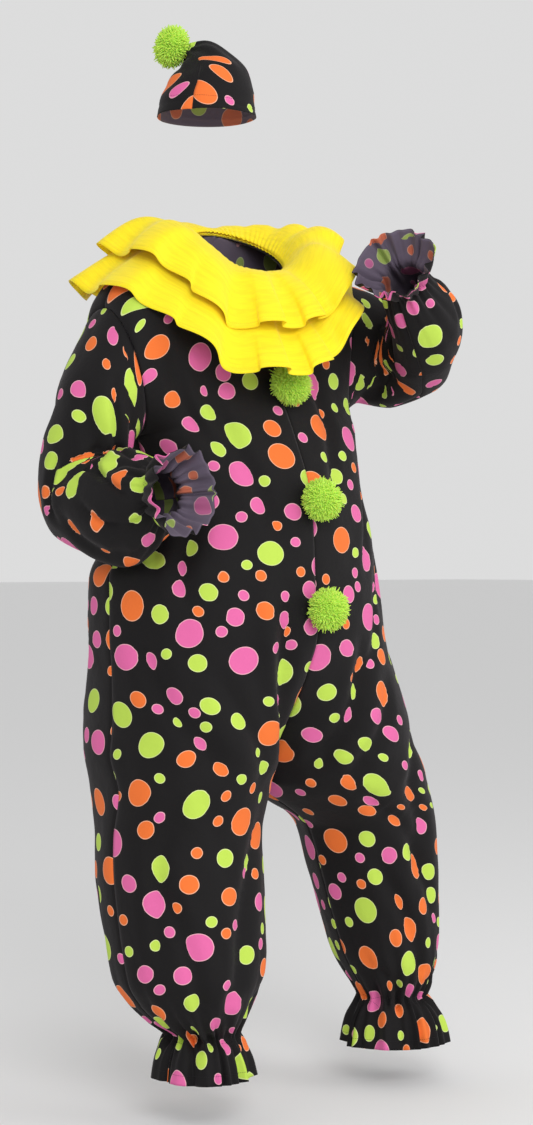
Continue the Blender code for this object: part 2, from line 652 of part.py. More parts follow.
def make_ruff(name, table):
    """One tier: rows from the neck seam to the hem, each an arch read at a share of its length.

    The arch runs from the neck oval through a raised middle to the hem; waves grow towards
    the hem.
    """
    turns = np.linspace(-180, 180, RUFF_WAVES * RUFF_POINTS + 1)
    place = np.interp(turns, [reach.turn for reach in table], np.arange(len(table)))
    _, radius, z, lift = read(table, place).T
    angle = np.radians(turns)
    y, front_z = NECK_FRONT
    back_y, back_z = NECK_BACK
    c = np.cos(angle)
    drop = np.where(c > 0, (front_z - NECK_SIDE_Z) * c, (NECK_SIDE_Z - back_z) * c)
    neck = np.stack([
        (NECK_HALF_WIDTH + RUFF_OUT) * np.sin(angle),
        np.where(c > 0, (y - RUFF_OUT) * c, -(back_y + RUFF_OUT) * c),
        NECK_SIDE_Z + RUFF_LAYER[name] + drop,
    ], axis=1)
    hem = np.stack([radius * np.sin(angle), -radius * c, z], axis=1)
    middle = neck + RUFF_BELLY * (hem - neck)
    middle[:, 2] += lift
    rows = []
    pushes = []
    for share in np.linspace(0, 1, RUFF_ROWS):
        rows.append(neck * (1 - share) ** 2 + 2 * middle * share * (1 - share) + hem * share**2)
        pushes.append(RUFF_WAVE_HEIGHT[name] * share**2 * np.sin(angle * RUFF_WAVES))
    rows = flip(rows)
    pushes = [push[::-1] for push in pushes]
    normals = shared_normals({name: rows})[name]
    rows = push_rows(rows, normals, pushes)
    normals = shared_normals({name: rows})[name]
    make_wall(name, *trim(rows, normals, ("inner", "outer")), CREPE, "yellow_crepe")


def make_hat():
    """The hat's one piece, closed by one seam, from the brim to the small hole under its pompom."""
    table = ring_table(HAT, HAT_OUT_SIDE, 1.0)
    turns = np.linspace(-180, 180, HAT_COLUMNS)
    rows = flip([ring_points(table, np.array([float(at)]), turns)[0] for at in range(len(HAT))])
    normals = shared_normals({"hat_crown": rows})["hat_crown"]
    make_wall("hat_crown", *trim(rows, normals, ("inner", "outer")), CLOTH, "dot_cloth")


def make_pompom(name, centre, facing):
    """A yarn ball, a little flatter along the way it faces, as rings between two poles."""
    facing = unit(facing)
    side = unit(np.cross(facing, (0.0, 0.0, 1.0)))
    up = np.cross(side, facing)
    tilt = np.linspace(0, np.pi, POMPOM_RINGS + 2)[1:-1, None, None]
    turn = np.linspace(0, 2 * np.pi, POMPOM_SIDES, endpoint=False)[None, :, None]
    rings = np.cos(tilt) * POMPOM_DEPTH * facing + np.sin(tilt) * POMPOM_RADIUS * (
        np.cos(turn) * side + np.sin(turn) * up
    )
    points = [POMPOM_DEPTH * facing, *rings.reshape(-1, 3), -POMPOM_DEPTH * facing]
    last = len(points) - 1
    triangles = []
    for k in range(POMPOM_SIDES):
        following = (k + 1) % POMPOM_SIDES
        triangles.append((0, 1 + following, 1 + k))
        for ring in range(POMPOM_RINGS - 1):
            a = 1 + ring * POMPOM_SIDES
            b = a + POMPOM_SIDES
            triangles += [(a + k, a + following, b + following), (a + k, b + following, b + k)]
        a = 1 + (POMPOM_RINGS - 1) * POMPOM_SIDES
        triangles.append((last, a + k, a + following))
    make_object(name, np.array(points) + centre, triangles, "lime_yarn")


def make_front_pompoms(front):
    """Three balls on the centre-front seam, each square to the cloth under it."""
    seam = np.array([row[-1] for row in front])
    for pompom in FRONT_POMPOMS:
        k = np.searchsorted(-seam[:, 2], -pompom.z)
        step = seam[k] - seam[k - 1]
        spot = seam[k - 1] + (pompom.z - seam[k - 1, 2]) / step[2] * step
        along = unit(step)
        facing = np.array([0.0, along[2], -along[1]])
        make_pompom(pompom.name, spot + (POMPOM_DEPTH + pompom.clear) * facing, facing)


def make_back_fly(right, left):
    """The closing strip inside the back opening, made from the back panels' own points."""
    rows = [
        np.array([b[-1] + FLY_SHARE * (b[-2] - b[-1]), a[0], a[0] + FLY_SHARE * (a[1] - a[0])])
        for at, a, b in zip(BODY_STEPS, right, left)
        if FLY_ROWS[0] <= at <= FLY_ROWS[1]
    ]
    normals = shared_normals({"back_fly": rows})["back_fly"]
    rows = push_rows(rows, normals, [np.full(3, -CLOTH - FLY_CLEAR) for _ in rows])
    make_wall("back_fly", rows, normals, CLOTH, "dot_cloth")


for old in list(bpy.data.objects):
    bpy.data.objects.remove(old, do_unlink=True)
jumpsuit = make_jumpsuit()
make_front_pompoms(jumpsuit["front_right"])
make_back_fly(jumpsuit["back_right"], jumpsuit["back_left"])
make_ruff("ruff_upper", RUFF_UPPER)
make_ruff("ruff_lower", RUFF_LOWER)
make_hat()
make_pompom("hat_pompom", HAT_POMPOM, HAT_POMPOM_FACING)
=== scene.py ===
"""The clown costume's finished looks, built round its fixed frame.

The frame is in metres, +Z up, with the origin at the base of the neck; the wearer faces -Y and
their left is +X. Every cloth piece is a grid of points: rows run along it from its upper seam to
its hem, and columns run across it from one seam to the other.
"""

from collections import namedtuple

import bmesh
import bpy
import numpy as np
from bpy.props import FloatProperty, FloatVectorProperty, IntProperty, PointerProperty
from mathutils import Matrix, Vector


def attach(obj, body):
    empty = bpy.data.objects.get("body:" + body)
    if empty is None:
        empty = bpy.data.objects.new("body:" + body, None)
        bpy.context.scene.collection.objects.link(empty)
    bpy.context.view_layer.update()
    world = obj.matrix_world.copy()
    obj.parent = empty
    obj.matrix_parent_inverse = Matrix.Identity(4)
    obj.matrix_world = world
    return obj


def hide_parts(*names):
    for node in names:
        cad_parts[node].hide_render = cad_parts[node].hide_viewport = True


bl_info = {
    "name": "Clown Costume",
    "version": (1, 0, 0),
    "blender": (4, 5, 0),
    "location": "3D View > Sidebar > Costume",
    "description": "Builds a dotted clown jumpsuit, its ruff, pompoms and hat, and a plain stage",
    "category": "Add Mesh",
}

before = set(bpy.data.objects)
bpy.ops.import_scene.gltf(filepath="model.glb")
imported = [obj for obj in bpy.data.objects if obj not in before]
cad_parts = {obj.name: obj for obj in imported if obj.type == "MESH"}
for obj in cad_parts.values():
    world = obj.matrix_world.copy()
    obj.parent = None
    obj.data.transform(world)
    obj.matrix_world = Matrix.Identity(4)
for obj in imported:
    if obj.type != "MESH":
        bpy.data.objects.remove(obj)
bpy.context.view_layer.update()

# ---------------------------------------------------------------- the cut, as worn

# Neck opening: an oval, lower in front than behind
NECK_HALF_WIDTH = 0.082
NECK_FRONT = (-0.078, -0.062)  # y, z of the centre front
NECK_BACK = (0.068, 0.028)  # y, z of the centre back
NECK_SIDE_Z = -0.012
QUARTER_ARC = 0.5523  # handle length of a cubic curve that follows a quarter circle
HALF_ARC = 4 / 3  # handle length of a cubic curve that peaks at one
SHOULDER_EASE = (0.15, 0.45)  # how soon the shoulder line starts to fall, and how late it ends
FORK_FULLNESS = 0.5  # extra depth half way down the rise
LEG_PARTING = 0.2  # how far the legs part as they leave the crotch

# Dropped armholes: ovals through a top, an underarm, and a front and a back bulge
Armhole = namedtuple("Armhole", "top underarm front back")
ARMHOLES = {
    "right": Armhole(
        (-0.285, 0.020, -0.130), (-0.228, 0.000, -0.350), (-0.020, -0.085, 0.0), (-0.002, 0.090, 0.0)
    ),
    "left": Armhole(
        (0.272, 0.000, -0.048), (0.243, -0.005, -0.295), (-0.045, -0.068, 0.0), (0.020, 0.085, 0.0)
    ),
}

# Trunk: one row for each level, from the shoulder seam to the crotch.
# neck, arm: degrees round the neck and armhole ovals; closed: how far the rise seam has
# travelled from the outside of the body towards the crotch.
Level = namedtuple("Level", "neck arm front_z back_z side_z front_y back_y seam_x right_x left_x closed")
NECK_ROW = 2  # where the seam leaves the neck
UNDERARM_ROW = 5
TRUNK = [
    Level(0, 0, -0.062, 0.028, -0.32, -0.078, 0.068, 0.000, -0.228, 0.243, 0.00),
    Level(45, 34, -0.062, 0.028, -0.32, -0.078, 0.068, 0.000, -0.228, 0.243, 0.00),
    Level(90, 66, -0.062, 0.028, -0.32, -0.078, 0.068, 0.000, -0.228, 0.243, 0.00),
    Level(90, 98, -0.150, -0.065, -0.32, -0.098, 0.112, 0.000, -0.228, 0.243, 0.00),
    Level(90, 134, -0.250, -0.185, -0.32, -0.114, 0.148, 0.000, -0.228, 0.243, 0.00),
    Level(90, 180, -0.345, -0.315, -0.32, -0.158, 0.172, 0.000, -0.228, 0.243, 0.00),
    Level(90, 180, -0.435, -0.425, -0.42, -0.196, 0.196, 0.000, -0.214, 0.241, 0.00),
    Level(90, 180, -0.520, -0.515, -0.51, -0.210, 0.216, 0.000, -0.236, 0.262, 0.00),
    Level(90, 180, -0.605, -0.605, -0.60, -0.214, 0.230, 0.000, -0.288, 0.278, 0.00),
    Level(90, 180, -0.690, -0.690, -0.69, -0.220, 0.232, 0.000, -0.288, 0.293, 0.00),
    Level(90, 180, -0.765, -0.765, -0.76, -0.212, 0.218, 0.002, -0.283, 0.316, 0.13),
    Level(90, 180, -0.840, -0.840, -0.84, -0.204, 0.199, 0.008, -0.282, 0.340, 0.42),
    Level(90, 180, -0.908, -0.908, -0.90, -0.192, 0.180, 0.013, -0.287, 0.360, 0.74),
    Level(90, 180, -0.960, -0.960, -0.97, -0.176, 0.158, 0.016, -0.290, 0.385, 1.00),
]
CROTCH_ROW = len(TRUNK) - 1
CROTCH_Y = -0.030

# Legs: one row for each level below the crotch. The last four are the elastic and the frill.
Ring = namedtuple("Ring", "x y z half_width half_depth")
LEGS = {
    "right": [
        Ring(-0.144, -0.020, -1.045, 0.150, 0.143),
        Ring(-0.147, -0.030, -1.130, 0.152, 0.142),
        Ring(-0.150, -0.045, -1.210, 0.148, 0.136),
        Ring(-0.157, -0.062, -1.283, 0.138, 0.128),
        Ring(-0.160, -0.072, -1.325, 0.116, 0.110),
        Ring(-0.155, -0.080, -1.360, 0.088, 0.085),
        Ring(-0.146, -0.085, -1.387, 0.060, 0.060),
        Ring(-0.144, -0.086, -1.404, 0.072, 0.072),
        Ring(-0.143, -0.087, -1.431, 0.083, 0.083),
        Ring(-0.142, -0.088, -1.460, 0.088, 0.088),
    ],
    "left": [
        Ring(0.286, -0.020, -1.060, 0.134, 0.127),
        Ring(0.300, -0.028, -1.150, 0.122, 0.119),
        Ring(0.310, -0.036, -1.230, 0.111, 0.110),
        Ring(0.317, -0.046, -1.300, 0.098, 0.100),
        Ring(0.320, -0.053, -1.335, 0.084, 0.086),
        Ring(0.321, -0.057, -1.360, 0.070, 0.071),
        Ring(0.320, -0.060, -1.380, 0.058, 0.058),
        Ring(0.320, -0.061, -1.397, 0.074, 0.074),
        Ring(0.320, -0.062, -1.428, 0.090, 0.090),
        Ring(0.320, -0.063, -1.466, 0.097, 0.097),
    ],
}
ANKLE_ROW = CROTCH_ROW + 7
HEM_ROW = CROTCH_ROW + 10

# Sleeves: rings along the bent arm. heading is the way the sleeve runs; out, in, front and back
# are the ring's half sizes, out being the side of the shoulder seam.
Cuff = namedtuple("Cuff", "centre heading out inward front back")
SLEEVES = {
    "right": [
        Cuff((-0.306, 0.010, -0.320), (-0.57, 0.02, -0.82), 0.076, 0.061, 0.086, 0.090),
        Cuff((-0.308, 0.030, -0.380), (-0.25, 0.10, -0.96), 0.076, 0.064, 0.088, 0.094),
        Cuff((-0.307, 0.042, -0.425), (-0.05, -0.25, -0.95), 0.076, 0.066, 0.076, 0.098),
        Cuff((-0.307, 0.028, -0.453), (-0.03, -0.70, -0.71), 0.076, 0.066, 0.076, 0.104),
        Cuff((-0.308, -0.018, -0.461), (0.00, -0.97, -0.20), 0.075, 0.066, 0.082, 0.104),
        Cuff((-0.309, -0.075, -0.464), (0.00, -1.00, 0.00), 0.072, 0.065, 0.084, 0.112),
        Cuff((-0.308, -0.125, -0.462), (0.00, -1.00, 0.03), 0.066, 0.064, 0.074, 0.090),
        Cuff((-0.309, -0.160, -0.458), (0.00, -1.00, 0.05), 0.051, 0.050, 0.056, 0.062),
        Cuff((-0.309, -0.180, -0.455), (0.02, -1.00, 0.05), 0.041, 0.040, 0.043, 0.044),
        Cuff((-0.308, -0.198, -0.453), (0.05, -1.00, 0.05), 0.053, 0.052, 0.055, 0.057),
        Cuff((-0.304, -0.236, -0.450), (0.08, -1.00, 0.05), 0.070, 0.068, 0.072, 0.076),
    ],
    "left": [
        Cuff((0.308, -0.028, -0.180), (0.80, -0.52, -0.28), 0.106, 0.094, 0.068, 0.078),
        Cuff((0.328, -0.062, -0.188), (0.50, -0.85, -0.10), 0.100, 0.092, 0.066, 0.070),
        Cuff((0.328, -0.110, -0.184), (-0.15, -0.95, 0.28), 0.094, 0.082, 0.060, 0.066),
        Cuff((0.310, -0.156, -0.166), (-0.60, -0.62, 0.50), 0.088, 0.080, 0.060, 0.070),
        Cuff((0.280, -0.192, -0.139), (-0.76, -0.42, 0.48), 0.078, 0.078, 0.058, 0.070),
        Cuff((0.240, -0.215, -0.110), (-0.78, -0.38, 0.48), 0.066, 0.068, 0.054, 0.060),
        Cuff((0.205, -0.230, -0.087), (-0.78, -0.38, 0.49), 0.052, 0.052, 0.046, 0.048),
        Cuff((0.180, -0.241, -0.069), (-0.78, -0.38, 0.50), 0.041, 0.041, 0.040, 0.040),
        Cuff((0.166, -0.248, -0.060), (-0.78, -0.38, 0.50), 0.053, 0.053, 0.052, 0.053),
        Cuff((0.139, -0.260, -0.043), (-0.78, -0.38, 0.50), 0.072, 0.072, 0.070, 0.072),
    ],
}
OUT_SIDE = {"right": (-1.0, 0.0, 0.0), "left": (0.0, 0.0, 1.0)}
TURN_SIGN = {"right": 1.0, "left": -1.0}
ROW_ROOM = 0.5  # least share of the usual step between rows inside a bend
SPREAD_ROUNDS = 1200  # how often crowded rows are drawn apart
CREASE_GAP = 0.06  # metres of print between the creases inside a bend

# Ruff: each tier by the way it faces (degrees from the front, + to the wearer's left)
Reach = namedtuple("Reach", "turn radius z lift")
RUFF = {}
RUFF["ruff_upper"] = [
    Reach(-180, 0.185, -0.006, 0.064),
    Reach(-125, 0.240, -0.012, 0.084),
    Reach(-92, 0.232, -0.024, 0.092),
    Reach(-74, 0.224, -0.052, 0.090),
    Reach(-58, 0.208, -0.108, 0.082),
    Reach(-40, 0.198, -0.160, 0.066),
    Reach(-10, 0.203, -0.158, 0.060),
    Reach(18, 0.205, -0.122, 0.064),
    Reach(42, 0.200, -0.036, 0.078),
    Reach(75, 0.192, 0.019, 0.082),
    Reach(120, 0.190, 0.020, 0.076),
    Reach(180, 0.185, -0.006, 0.064),
]
RUFF["ruff_lower"] = [
    Reach(-180, 0.232, -0.085, 0.036),
    Reach(-128, 0.292, -0.080, 0.056),
    Reach(-95, 0.290, -0.090, 0.060),
    Reach(-78, 0.280, -0.114, 0.046),
    Reach(-60, 0.256, -0.172, 0.030),
    Reach(-38, 0.238, -0.240, 0.026),
    Reach(-10, 0.232, -0.242, 0.026),
    Reach(12, 0.225, -0.202, 0.030),
    Reach(34, 0.220, -0.125, 0.040),
    Reach(62, 0.215, -0.042, 0.042),
    Reach(95, 0.232, -0.010, 0.038),
    Reach(130, 0.245, -0.036, 0.043),
    Reach(180, 0.232, -0.085, 0.036),
]
RUFF_LAYER = {"ruff_lower": 0.0034, "ruff_upper": 0.0072}  # height over the neck seam
RUFF_OUT = 0.0010  # how far its neck edge stands outside the neck seam

# Hat: rings from the brim to the flopped tip
HAT = [
    Cuff((-0.063, 0.013, 0.228), (0.00, 0.00, 1.00), 0.0890, 0.0890, 0.0890, 0.0890),
    Cuff((-0.061, 0.012, 0.256), (0.06, -0.05, 1.00), 0.0845, 0.0845, 0.0845, 0.0845),
    Cuff((-0.057, 0.009, 0.281), (0.05, -0.04, 1.00), 0.0770, 0.0770, 0.0770, 0.0770),
    Cuff((-0.057, 0.009, 0.306), (-0.06, 0.05, 1.00), 0.0670, 0.0670, 0.0670, 0.0670),
    Cuff((-0.064, 0.014, 0.328), (-0.22, 0.18, 0.96), 0.0510, 0.0510, 0.0510, 0.0510),
    Cuff((-0.075, 0.023, 0.341), (-0.50, 0.42, 0.76), 0.0320, 0.0320, 0.0320, 0.0320),
    Cuff((-0.088, 0.034, 0.347), (-0.72, 0.60, 0.32), 0.0130, 0.0130, 0.0130, 0.0130),
]
HAT_OUT_SIDE = (0.82, 0.57, 0.0)  # the seam is on the opposite side

# ---------------------------------------------------------------- folds and gathers

# A fold is a soft trough (-) or ridge (+) along a line on one piece. On a body panel a place is
# (level, share of the way from the inner to the outer seam); on a sleeve it is (ring, degrees
# from the shoulder seam, + to the front). bow bends its middle sideways, in the second unit.
Fold = namedtuple("Fold", "piece start end bow width depth")
FOLDS = [
    # the centre front, and the drag lines from the chest and the seat
    Fold("front_right", (8.2, 0.13), (12.6, 0.10), 0.03, 0.022, -0.014),
    Fold("front_right", (7.6, 0.24), (12.2, 0.26), -0.03, 0.020, 0.007),
    Fold("front_right", (3.4, 0.42), (7.4, 0.16), 0.06, 0.020, -0.009),
    Fold("front_right", (3.0, 0.62), (6.0, 0.40), 0.05, 0.017, -0.007),
    Fold("front_right", (5.2, 0.86), (8.8, 0.55), -0.05, 0.024, -0.011),
    Fold("front_right", (6.2, 0.90), (7.9, 0.70), 0.03, 0.014, -0.006),
    Fold("front_right", (8.8, 0.82), (12.8, 0.50), 0.06, 0.026, -0.010),
    Fold("front_right", (9.6, 0.52), (13.0, 0.34), -0.04, 0.019, -0.007),
    Fold("front_right", (13.0, 0.72), (16.8, 0.80), 0.05, 0.022, -0.008),
    Fold("front_right", (13.4, 0.26), (18.2, 0.44), 0.08, 0.022, -0.011),
    Fold("front_right", (14.2, 0.84), (18.6, 0.64), -0.05, 0.019, -0.009),
    Fold("front_right", (16.4, 0.10), (19.0, 0.24), 0.04, 0.013, -0.007),
    Fold("front_right", (16.8, 0.52), (19.6, 0.56), -0.03, 0.012, -0.006),
    Fold("front_left", (3.2, 0.30), (6.6, 0.12), 0.04, 0.017, -0.008),
    Fold("front_left", (4.4, 0.84), (8.0, 0.34), -0.05, 0.019, -0.012),
    Fold("front_left", (5.4, 0.92), (8.8, 0.52), -0.04, 0.015, -0.008),
    Fold("front_left", (6.4, 0.92), (10.0, 0.60), 0.03, 0.018, -0.010),
    Fold("front_left", (7.8, 0.50), (10.6, 0.22), 0.04, 0.018, -0.008),
    Fold("front_left", (9.0, 0.26), (12.8, 0.16), 0.05, 0.022, -0.015),
    Fold("front_left", (10.0, 0.46), (13.2, 0.30), 0.04, 0.018, -0.008),
    Fold("front_left", (11.2, 0.80), (15.4, 0.50), -0.05, 0.024, -0.010),
    Fold("front_left", (13.0, 0.30), (16.2, 0.62), 0.06, 0.018, -0.008),
    Fold("front_left", (14.4, 0.26), (18.2, 0.48), 0.05, 0.018, -0.010),
    Fold("front_left", (15.6, 0.86), (18.8, 0.66), -0.03, 0.015, -0.008),
    Fold("front_left", (17.0, 0.12), (19.4, 0.30), 0.03, 0.011, -0.006),
    # the back hangs from the shoulders and sags at the seat
    Fold("back_right", (3.2, 0.28), (9.0, 0.40), 0.05, 0.026, -0.013),
    Fold("back_right", (3.6, 0.62), (8.0, 0.74), -0.04, 0.022, -0.010),
    Fold("back_right", (6.0, 0.12), (10.4, 0.18), 0.04, 0.018, -0.008),
    Fold("back_right", (8.8, 0.72), (12.8, 0.34), 0.06, 0.026, -0.013),
    Fold("back_right", (10.2, 0.30), (13.2, 0.14), 0.04, 0.019, -0.010),
    Fold("back_right", (13.8, 0.42), (18.4, 0.56), -0.06, 0.022, -0.011),
    Fold("back_right", (14.8, 0.82), (18.2, 0.72), 0.03, 0.017, -0.008),
    Fold("back_left", (3.4, 0.46), (8.4, 0.28), 0.05, 0.025, -0.013),
    Fold("back_left", (4.8, 0.76), (9.4, 0.64), -0.05, 0.020, -0.010),
    Fold("back_left", (7.0, 0.10), (11.0, 0.16), 0.04, 0.018, -0.008),
    Fold("back_left", (8.4, 0.64), (12.6, 0.30), 0.06, 0.026, -0.013),
    Fold("back_left", (11.4, 0.84), (15.0, 0.60), -0.03, 0.020, -0.009),
    Fold("back_left", (14.0, 0.62), (18.0, 0.46), 0.05, 0.020, -0.011),
    Fold("back_left", (15.2, 0.20), (18.8, 0.30), 0.03, 0.015, -0.008),
    # the bent right sleeve: folds fan out of the inner elbow and hang from the shoulder
    Fold("sleeve_right", (0.8, 20), (3.4, 62), 14, 0.017, -0.009),
    Fold("sleeve_right", (0.6, -30), (3.2, -50), -12, 0.016, -0.007),
    Fold("sleeve_right", (0.5, 100), (3.0, 118), 10, 0.014, -0.008),
    Fold("sleeve_right", (2.6, 118), (4.2, 60), 12, 0.010, -0.009),
    Fold("sleeve_right", (3.2, 130), (5.0, 40), 16, 0.011, -0.010),
    Fold("sleeve_right", (3.8, 140), (6.2, 20), 18, 0.011, -0.008),
    Fold("sleeve_right", (4.4, -10), (7.0, -66), -14, 0.018, -0.010),
    Fold("sleeve_right", (4.6, -70), (6.4, -130), -12, 0.015, -0.009),
    Fold("sleeve_right", (6.2, 30), (8.2, 58), 10, 0.010, -0.006),
    Fold("sleeve_right", (3.0, 76), (6.8, 16), 12, 0.008, -0.010),
    Fold("sleeve_right", (3.5, 98), (7.6, 62), 8, 0.008, -0.009),
    Fold("sleeve_right", (4.4, 44), (8.2, -14), 12, 0.009, -0.009),
    Fold("sleeve_right", (5.2, 2), (8.4, -46), -8, 0.009, -0.008),
    Fold("sleeve_right", (1.4, 66), (4.1, 14), 8, 0.009, -0.010),
    Fold("sleeve_right", (2.3, 12), (4.7, -36), 10, 0.010, -0.009),
    Fold("sleeve_right", (0.4, 58), (2.7, 88), 6, 0.009, -0.008),
    Fold("sleeve_right", (6.6, 92), (9.0, 104), 6, 0.007, -0.006),
    # the raised left sleeve: many short folds between the elbow and the cuff
    Fold("sleeve_left", (0.8, 155), (3.4, 116), -12, 0.014, -0.010),
    Fold("sleeve_left", (1.4, 120), (3.8, 76), -12, 0.012, -0.009),
    Fold("sleeve_left", (2.2, 84), (4.6, 44), 10, 0.012, -0.009),
    Fold("sleeve_left", (2.8, 40), (5.4, 12), 10, 0.012, -0.008),
    Fold("sleeve_left", (3.6, 130), (5.6, 84), -10, 0.010, -0.009),
    Fold("sleeve_left", (1.2, -60), (4.4, -112), -16, 0.019, -0.011),
    Fold("sleeve_left", (2.0, -20), (5.0, -60), 12, 0.014, -0.008),
    Fold("sleeve_left", (4.8, -100), (6.8, -40), 12, 0.011, -0.007),
    Fold("sleeve_left", (5.0, 60), (6.8, 96), 10, 0.009, -0.006),
    Fold("sleeve_left", (1.6, 98), (3.6, 58), 10, 0.008, -0.010),
    Fold("sleeve_left", (2.4, 62), (5.2, 84), -10, 0.008, -0.009),
    Fold("sleeve_left", (3.2, 24), (6.0, 52), 8, 0.009, -0.009),
    Fold("sleeve_left", (4.4, 110), (6.9, 66), 8, 0.008, -0.008),
    Fold("sleeve_left", (3.8, -10), (6.4, 22), 8, 0.009, -0.008),
    Fold("sleeve_left", (0.6, 70), (2.2, 110), 6, 0.009, -0.008),
]
FOLD_STEPS = 26
LIP = 0.34  # a trough's raised lips, as a share of its depth
SWALLOW = 0.80  # cloth that a trough hides on each side, for its depth

# Gathers: pleats that die out away from the elastic. reach is in metres along the cloth.
Gather = namedtuple("Gather", "waves height reach seed")
LEG_GATHERS = [
    Gather(13, 0.0042, 0.026, 0.4), Gather(6, 0.0060, 0.075, 1.7), Gather(9, 0.0030, 0.045, 2.9),
]
LEG_FLUTES = [Gather(6, 0.0125, 0.050, 0.9), Gather(13, 0.0030, 0.030, 0.4)]
SLEEVE_GATHERS = [
    Gather(24, 0.0036, 0.022, 0.4), Gather(11, 0.0046, 0.055, 1.1), Gather(17, 0.0026, 0.036, 2.2),
]
SLEEVE_FLUTES = [Gather(11, 0.0105, 0.040, 0.8), Gather(24, 0.0026, 0.026, 0.4)]

# Ruff waves: how many, how high, and how far the hem folds back over itself
Flounce = namedtuple("Flounce", "waves height fold_back phase neck_pleats")
FLOUNCES = {
    "ruff_upper": Flounce(12, 0.0165, 0.0112, 0.55, 62),
    "ruff_lower": Flounce(12, 0.0150, 0.0104, 0.85, 62),
}

# Cut sizes of every sheet, in metres and square metres: width, length, area laid flat
Cut = namedtuple("Cut", "width length area held rests_on")
CUTS = {
    "front_right": Cut(0.50, 1.52, 0.600, "hung", ("ruff_lower",)),
    "front_left": Cut(0.50, 1.52, 0.560, "hung", ("ruff_lower",)),
    "back_right": Cut(0.52, 1.55, 0.620, "hung", ("ruff_lower",)),
    "back_left": Cut(0.52, 1.55, 0.580, "hung", ("ruff_lower",)),
    "sleeve_right": Cut(0.60, 0.58, 0.260, "hung", ("front_right", "back_right")),
    "sleeve_left": Cut(0.60, 0.56, 0.250, "hung", ("front_left", "back_left")),
    "ruff_upper": Cut(0.155, 1.48, None, "gathered", ("ruff_lower",)),
    "ruff_lower": Cut(0.185, 1.72, None, "gathered", ("front_right", "front_left")),
    "hat_crown": Cut(0.56, 0.16, 0.060, "stretched", ("hat_pompom",)),
    "back_fly": Cut(0.05, 0.62, None, "laid", ("back_right", "back_left")),
}

ROW_STEP = 0.0056  # how far apart the rows of a body panel are
SLEEVE_STEP = 0.8 * ROW_STEP
PANEL_COLUMNS = 80
SEAM_DIP = 0.0016  # how far a seam line lies below the cloth
SEAM_REACH = 0.005

# Pompoms
Pompom = namedtuple("Pompom", "name z clear")
POMPOM_RADIUS = 0.0365
POMPOM_DEPTH = 0.0300
FRONT_POMPOMS = [
    Pompom("pompom_top", -0.262, 0.0050),
    Pompom("pompom_middle", -0.465, 0.0010),
    Pompom("pompom_low", -0.648, 0.0010),
]
HAT_POMPOM = (-0.1100, 0.0520, 0.3560)
HAT_POMPOM_FACING = (-0.72, 0.60, 0.32)

# Back opening: a strip behind the centre-back seam, from the neck to the seat
FLY_LEVELS = (2.5, 8.0)
FLY_HALF_WIDTH = 0.024
FLY_CLEAR = 0.0030

RUFF_COLUMNS = 624
RUFF_ROWS = 28
HAT_COLUMNS = 128
HAT_ROWS = 60

# Stitches: length, gap, radius, and how far their middle line lies above the cloth
STITCH = (0.0026, 0.0013, 0.0003, 0.00012)
RUFF_STITCH = (0.0022, 0.0012, 0.00026, 0.00012)
HAT_STITCH_ROW = 8

# Stage
FLOOR_Z = -1.54
FLOOR_REACH = 90.0
WORLD_STRENGTH = 0.72
LAMPS = [
    ("key light", (-2.2, -4.2, 1.6), 130.0, 2.6),
    ("fill light", (2.4, -3.4, 0.6), 50.0, 3.0),
]
LAMP_AIM = (0.0, 0.0, -0.5)
CAMERA_PLACE = (-2.596, -3.174, -0.57)
CAMERA_WAY = (0.6428, 0.7660, 0.0)
CAMERA_LENS = 72.6

PIECES = {}  # finished grids by piece name, for what is sewn on them


# ---------------------------------------------------------------- curves and tables


def unit(vectors):
    """Each vector at length one."""
    vectors = np.asarray(vectors, float)
    return vectors / np.maximum(np.linalg.norm(vectors, axis=-1, keepdims=True), 1e-12)


def ease(x):
    """Smooth step from 0 to 1: 3x^2 - 2x^3."""
    x = np.clip(x, 0, 1)
    return x * x * (3 - 2 * x)


def read(table, at):
    """A table's columns at fractional row numbers, on a cubic that never overshoots a row."""
    rows = np.asarray(table, float)
    at = np.asarray(at, float)
    steps = np.diff(rows, axis=0)
    before = steps[:-1]
    after = steps[1:]
    total = np.where(before + after == 0, 1, before + after)
    slopes = np.where(before * after > 0, 2 * before * after / total, 0)
    slopes = np.vstack([steps[:1], slopes, steps[-1:]])
    low = np.clip(np.floor(at).astype(int), 0, len(rows) - 2)
    f = (at - low)[:, None]
    return (
        rows[low] * (1 + 2 * f) * (1 - f) ** 2
        + slopes[low] * f * (1 - f) ** 2
        + rows[low + 1] * f**2 * (3 - 2 * f)
        + slopes[low + 1] * f**2 * (f - 1)
    )


def leg_level(ring, side):
    """A leg ring as a level of the trunk table, its rise seam now the inseam."""
    inner, outer = (1, -1) if side == "right" else (-1, 1)
    edge = ring.x + outer * ring.half_width
    return Level(
        90, 180, ring.z, ring.z, ring.z, ring.y - ring.half_depth, ring.y + ring.half_depth,
        ring.x + inner * ring.half_width, edge, edge, 1.0,
    )


def side_table(side):
    """All levels of one half, shoulder to hem, with the y of its side seam and closed inseam."""
    _, y, z = ARMHOLES[side].underarm
    arm = [level._replace(side_z=z) for level in TRUNK[: UNDERARM_ROW + 1]]
    levels = [*arm, *TRUNK[UNDERARM_ROW + 1 :], *(leg_level(ring, side) for ring in LEGS[side])]
    middle = [y] * (UNDERARM_ROW + 1) + [0.0] * (CROTCH_ROW - UNDERARM_ROW - 1)
    middle += [CROTCH_Y] + [ring.y for ring in LEGS[side]]
    closing = [CROTCH_Y] * (CROTCH_ROW + 1) + [ring.y for ring in LEGS[side]]
    return [(*level, mid, close) for level, mid, close in zip(levels, middle, closing)]


